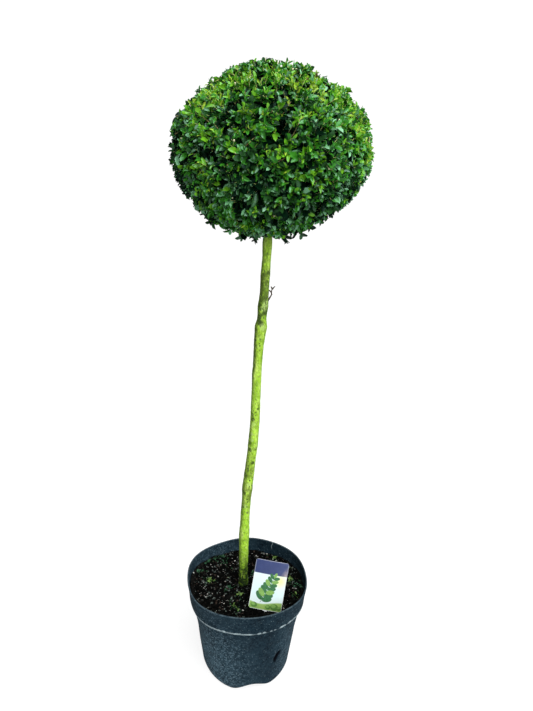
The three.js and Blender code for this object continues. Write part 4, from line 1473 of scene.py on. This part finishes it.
# Leaves that would stand too far out are cut shorter, and the rest get their width and their kind
def makeLeaves():
    shape = leafShape
    base, heading, light, size, tint = growLeaves()
    allowed = growth["proud"] + np.tile(shoots.reach, len(size) // len(shoots.reach))
    for _ in range(4):
        over = proudOf(base + heading * size[:, None]) - allowed
        size = np.where(over > 0, size - np.minimum(over, 3) * 1.1, size)
    keep = proudOf(base + heading * size[:, None]) < allowed + 1
    keep &= size > shape["leastLength"] * shape["length"]
    keep &= clearOfStem(base + heading * size[:, None] * 0.6)
    base, heading, light, size, tint = (part[keep] for part in (base, heading, light, size, tint))
    count = len(size)
    # painted shade on leaves deep inside the ball and in the dark gaps
    depth = -proudOf(base + heading * size[:, None] * 0.5)
    tint = tint - shape["innerShade"] * np.maximum(depth - shape["innerFrom"], 0)
    for place, radius in zip(outlinePoints(pointing(darkGaps[:, 0], darkGaps[:, 1])), darkGaps[:, 2]):
        near = np.exp(-((np.linalg.norm(base - place, axis=1) / (shape["gapReach"] * radius)) ** 2))
        tint = tint - shape["gapShade"] * near * (depth > shape["gapFrom"])
    across = unit(np.cross(heading, light) + random.normal(0, 0.5, (count, 3)))
    across = unit(across - heading * np.sum(across * heading, axis=1, keepdims=True))
    face = np.cross(across, heading)
    template, triangles = leafTemplate()
    width = size * shape["width"] / shape["length"] * random.normal(1, shape["chance"]["width"], count)
    width = np.where(tint > shape["youngTint"], width * shape["youngWidth"], width)
    sag = random.uniform(0.4, 1.6, count)
    corners = (
        base[:, None]
        + across[:, None] * template[None, :, :1] * width[:, None, None]
        + heading[:, None] * template[None, :, 1:2] * size[:, None, None]
        + face[:, None] * template[None, :, 2:] * (size * sag)[:, None, None]
    )
    lot = random.uniform(0, 1, count)
    withered = lot < growth["witheredShare"]
    lower = np.maximum(centre[2] - base[:, 2], 0) / ball["halfHeight"]
    rightward = np.maximum(base[:, 0] - centre[0], 0) / ball["halfWidth"]
    # pale leaves: a painted sheen
    rule = growth["paleSheenShare"]
    share = rule["all"] + rule["lower"] * lower + rule["rightward"] * rightward
    pale = (lot > 1 - share) & (tint > -0.02)
    groups = {"withered": withered, "pale": pale}
    rest = ~withered & ~pale
    for name, (_, _, begins) in reversed(leafKinds.items()):
        if begins is not None:
            groups[name] = rest & (tint >= begins)
            rest = rest & (tint < begins)
    # the most numerous kind is dealt into two pieces
    groups["shadeLow"] = groups["shade"] & (base[:, 2] < centre[2])
    groups["shade"] &= base[:, 2] >= centre[2]
    materials = {name: makeLeafMaterial(name) for name in leafKinds}
    for name in (*leafKinds, "shadeLow"):
        ballPiece(name + "Leaves", corners[groups[name]], triangles, materials[name.removesuffix("Low")])


def makeLeafMaterial(name):
    color, gloss, _ = leafKinds[name]
    plain = {"Roughness": leafShape["roughness"], "Specular_Tint": leafShape["shine"]}
    material, shader, place = newMaterial(name + "Leaf", Specular_IOR_Level=gloss, **plain)
    upper = shades(blotches(place, 90, 0.3, 0.7), color, 0.25)
    under = [min(1, value * 1.35 + 0.008) for value in color]
    behind = place.via("ShaderNodeNewGeometry", output="Backfacing")
    behind.mix(upper, under).into(shader, "Base Color")
    bump(shader, blotches(place, 400, 0.3, 0.7), 0.15, 0.0004)
    return material


makeWood()
makeLeaves()
print("foliage made")


# Floor and light

lightSettings = {
    "sky": 0.18,
    "backdrop": 1.05,
    "floorSize": 6,
    "floorBounce": 0.38,
    "floorShown": 0.3,
    "floorGlow": 0.8,
    # broad soft lamps: direction they shine from, how wide they look, strength
    "lamps": [
        ("overheadSky", (0.42, -0.55, 1.0), 84, 3.2),
        ("frontFill", (0.4, -1.0, 0.3), 60, 1.35),
    ],
}


# The backdrop shows white, while the object is lit by a dimmer sky from all round
def makeWorld():
    world = bpy.data.worlds.new("studio")
    world.use_nodes = True
    tree = world.node_tree
    backdrop = tree.nodes["Background"]
    backdrop.inputs["Color"].default_value = (1, 1, 1, 1)
    seen = Flow(tree, addNode(tree, "ShaderNodeLightPath").outputs["Is Camera Ray"])
    seen.remap(start=lightSettings["sky"], end=lightSettings["backdrop"]).into(backdrop, "Strength")
    scene.world = world


def makeStage():
    floor = bmesh.new()
    bmesh.ops.create_grid(floor, x_segments=1, y_segments=1, size=lightSettings["floorSize"])
    plane = putInScene("paleFloor", meshFrom(floor, "paleFloor"))
    material, shader, place = newMaterial("paleFloorFinish", Roughness=0.9, Specular_IOR_Level=0.2)
    seen = place.via("ShaderNodeLightPath", output="Is Camera Ray")
    # ground outdoors throws back less light than a white floor
    bounce, shown, glow = ([lightSettings[key]] * 3 for key in ("floorBounce", "floorShown", "floorGlow"))
    seen.mix(bounce, shown).into(shader, "Base Color")
    shader.inputs["Emission Strength"].default_value = 1
    seen.mix((0, 0, 0), glow).into(shader, "Emission Color")
    plane.data.materials.append(material)
    for name, direction, wide, power in lightSettings["lamps"]:
        light = bpy.data.lights.new(name, "SUN")
        light.angle = math.radians(wide)
        light.energy = power
        aim = Vector(direction).to_track_quat("Z", "Y").to_matrix().to_4x4()
        putInScene(name, light).matrix_world = aim
    scene.view_settings.view_transform = "Standard"


makeWorld()
makeStage()
print("stage made")
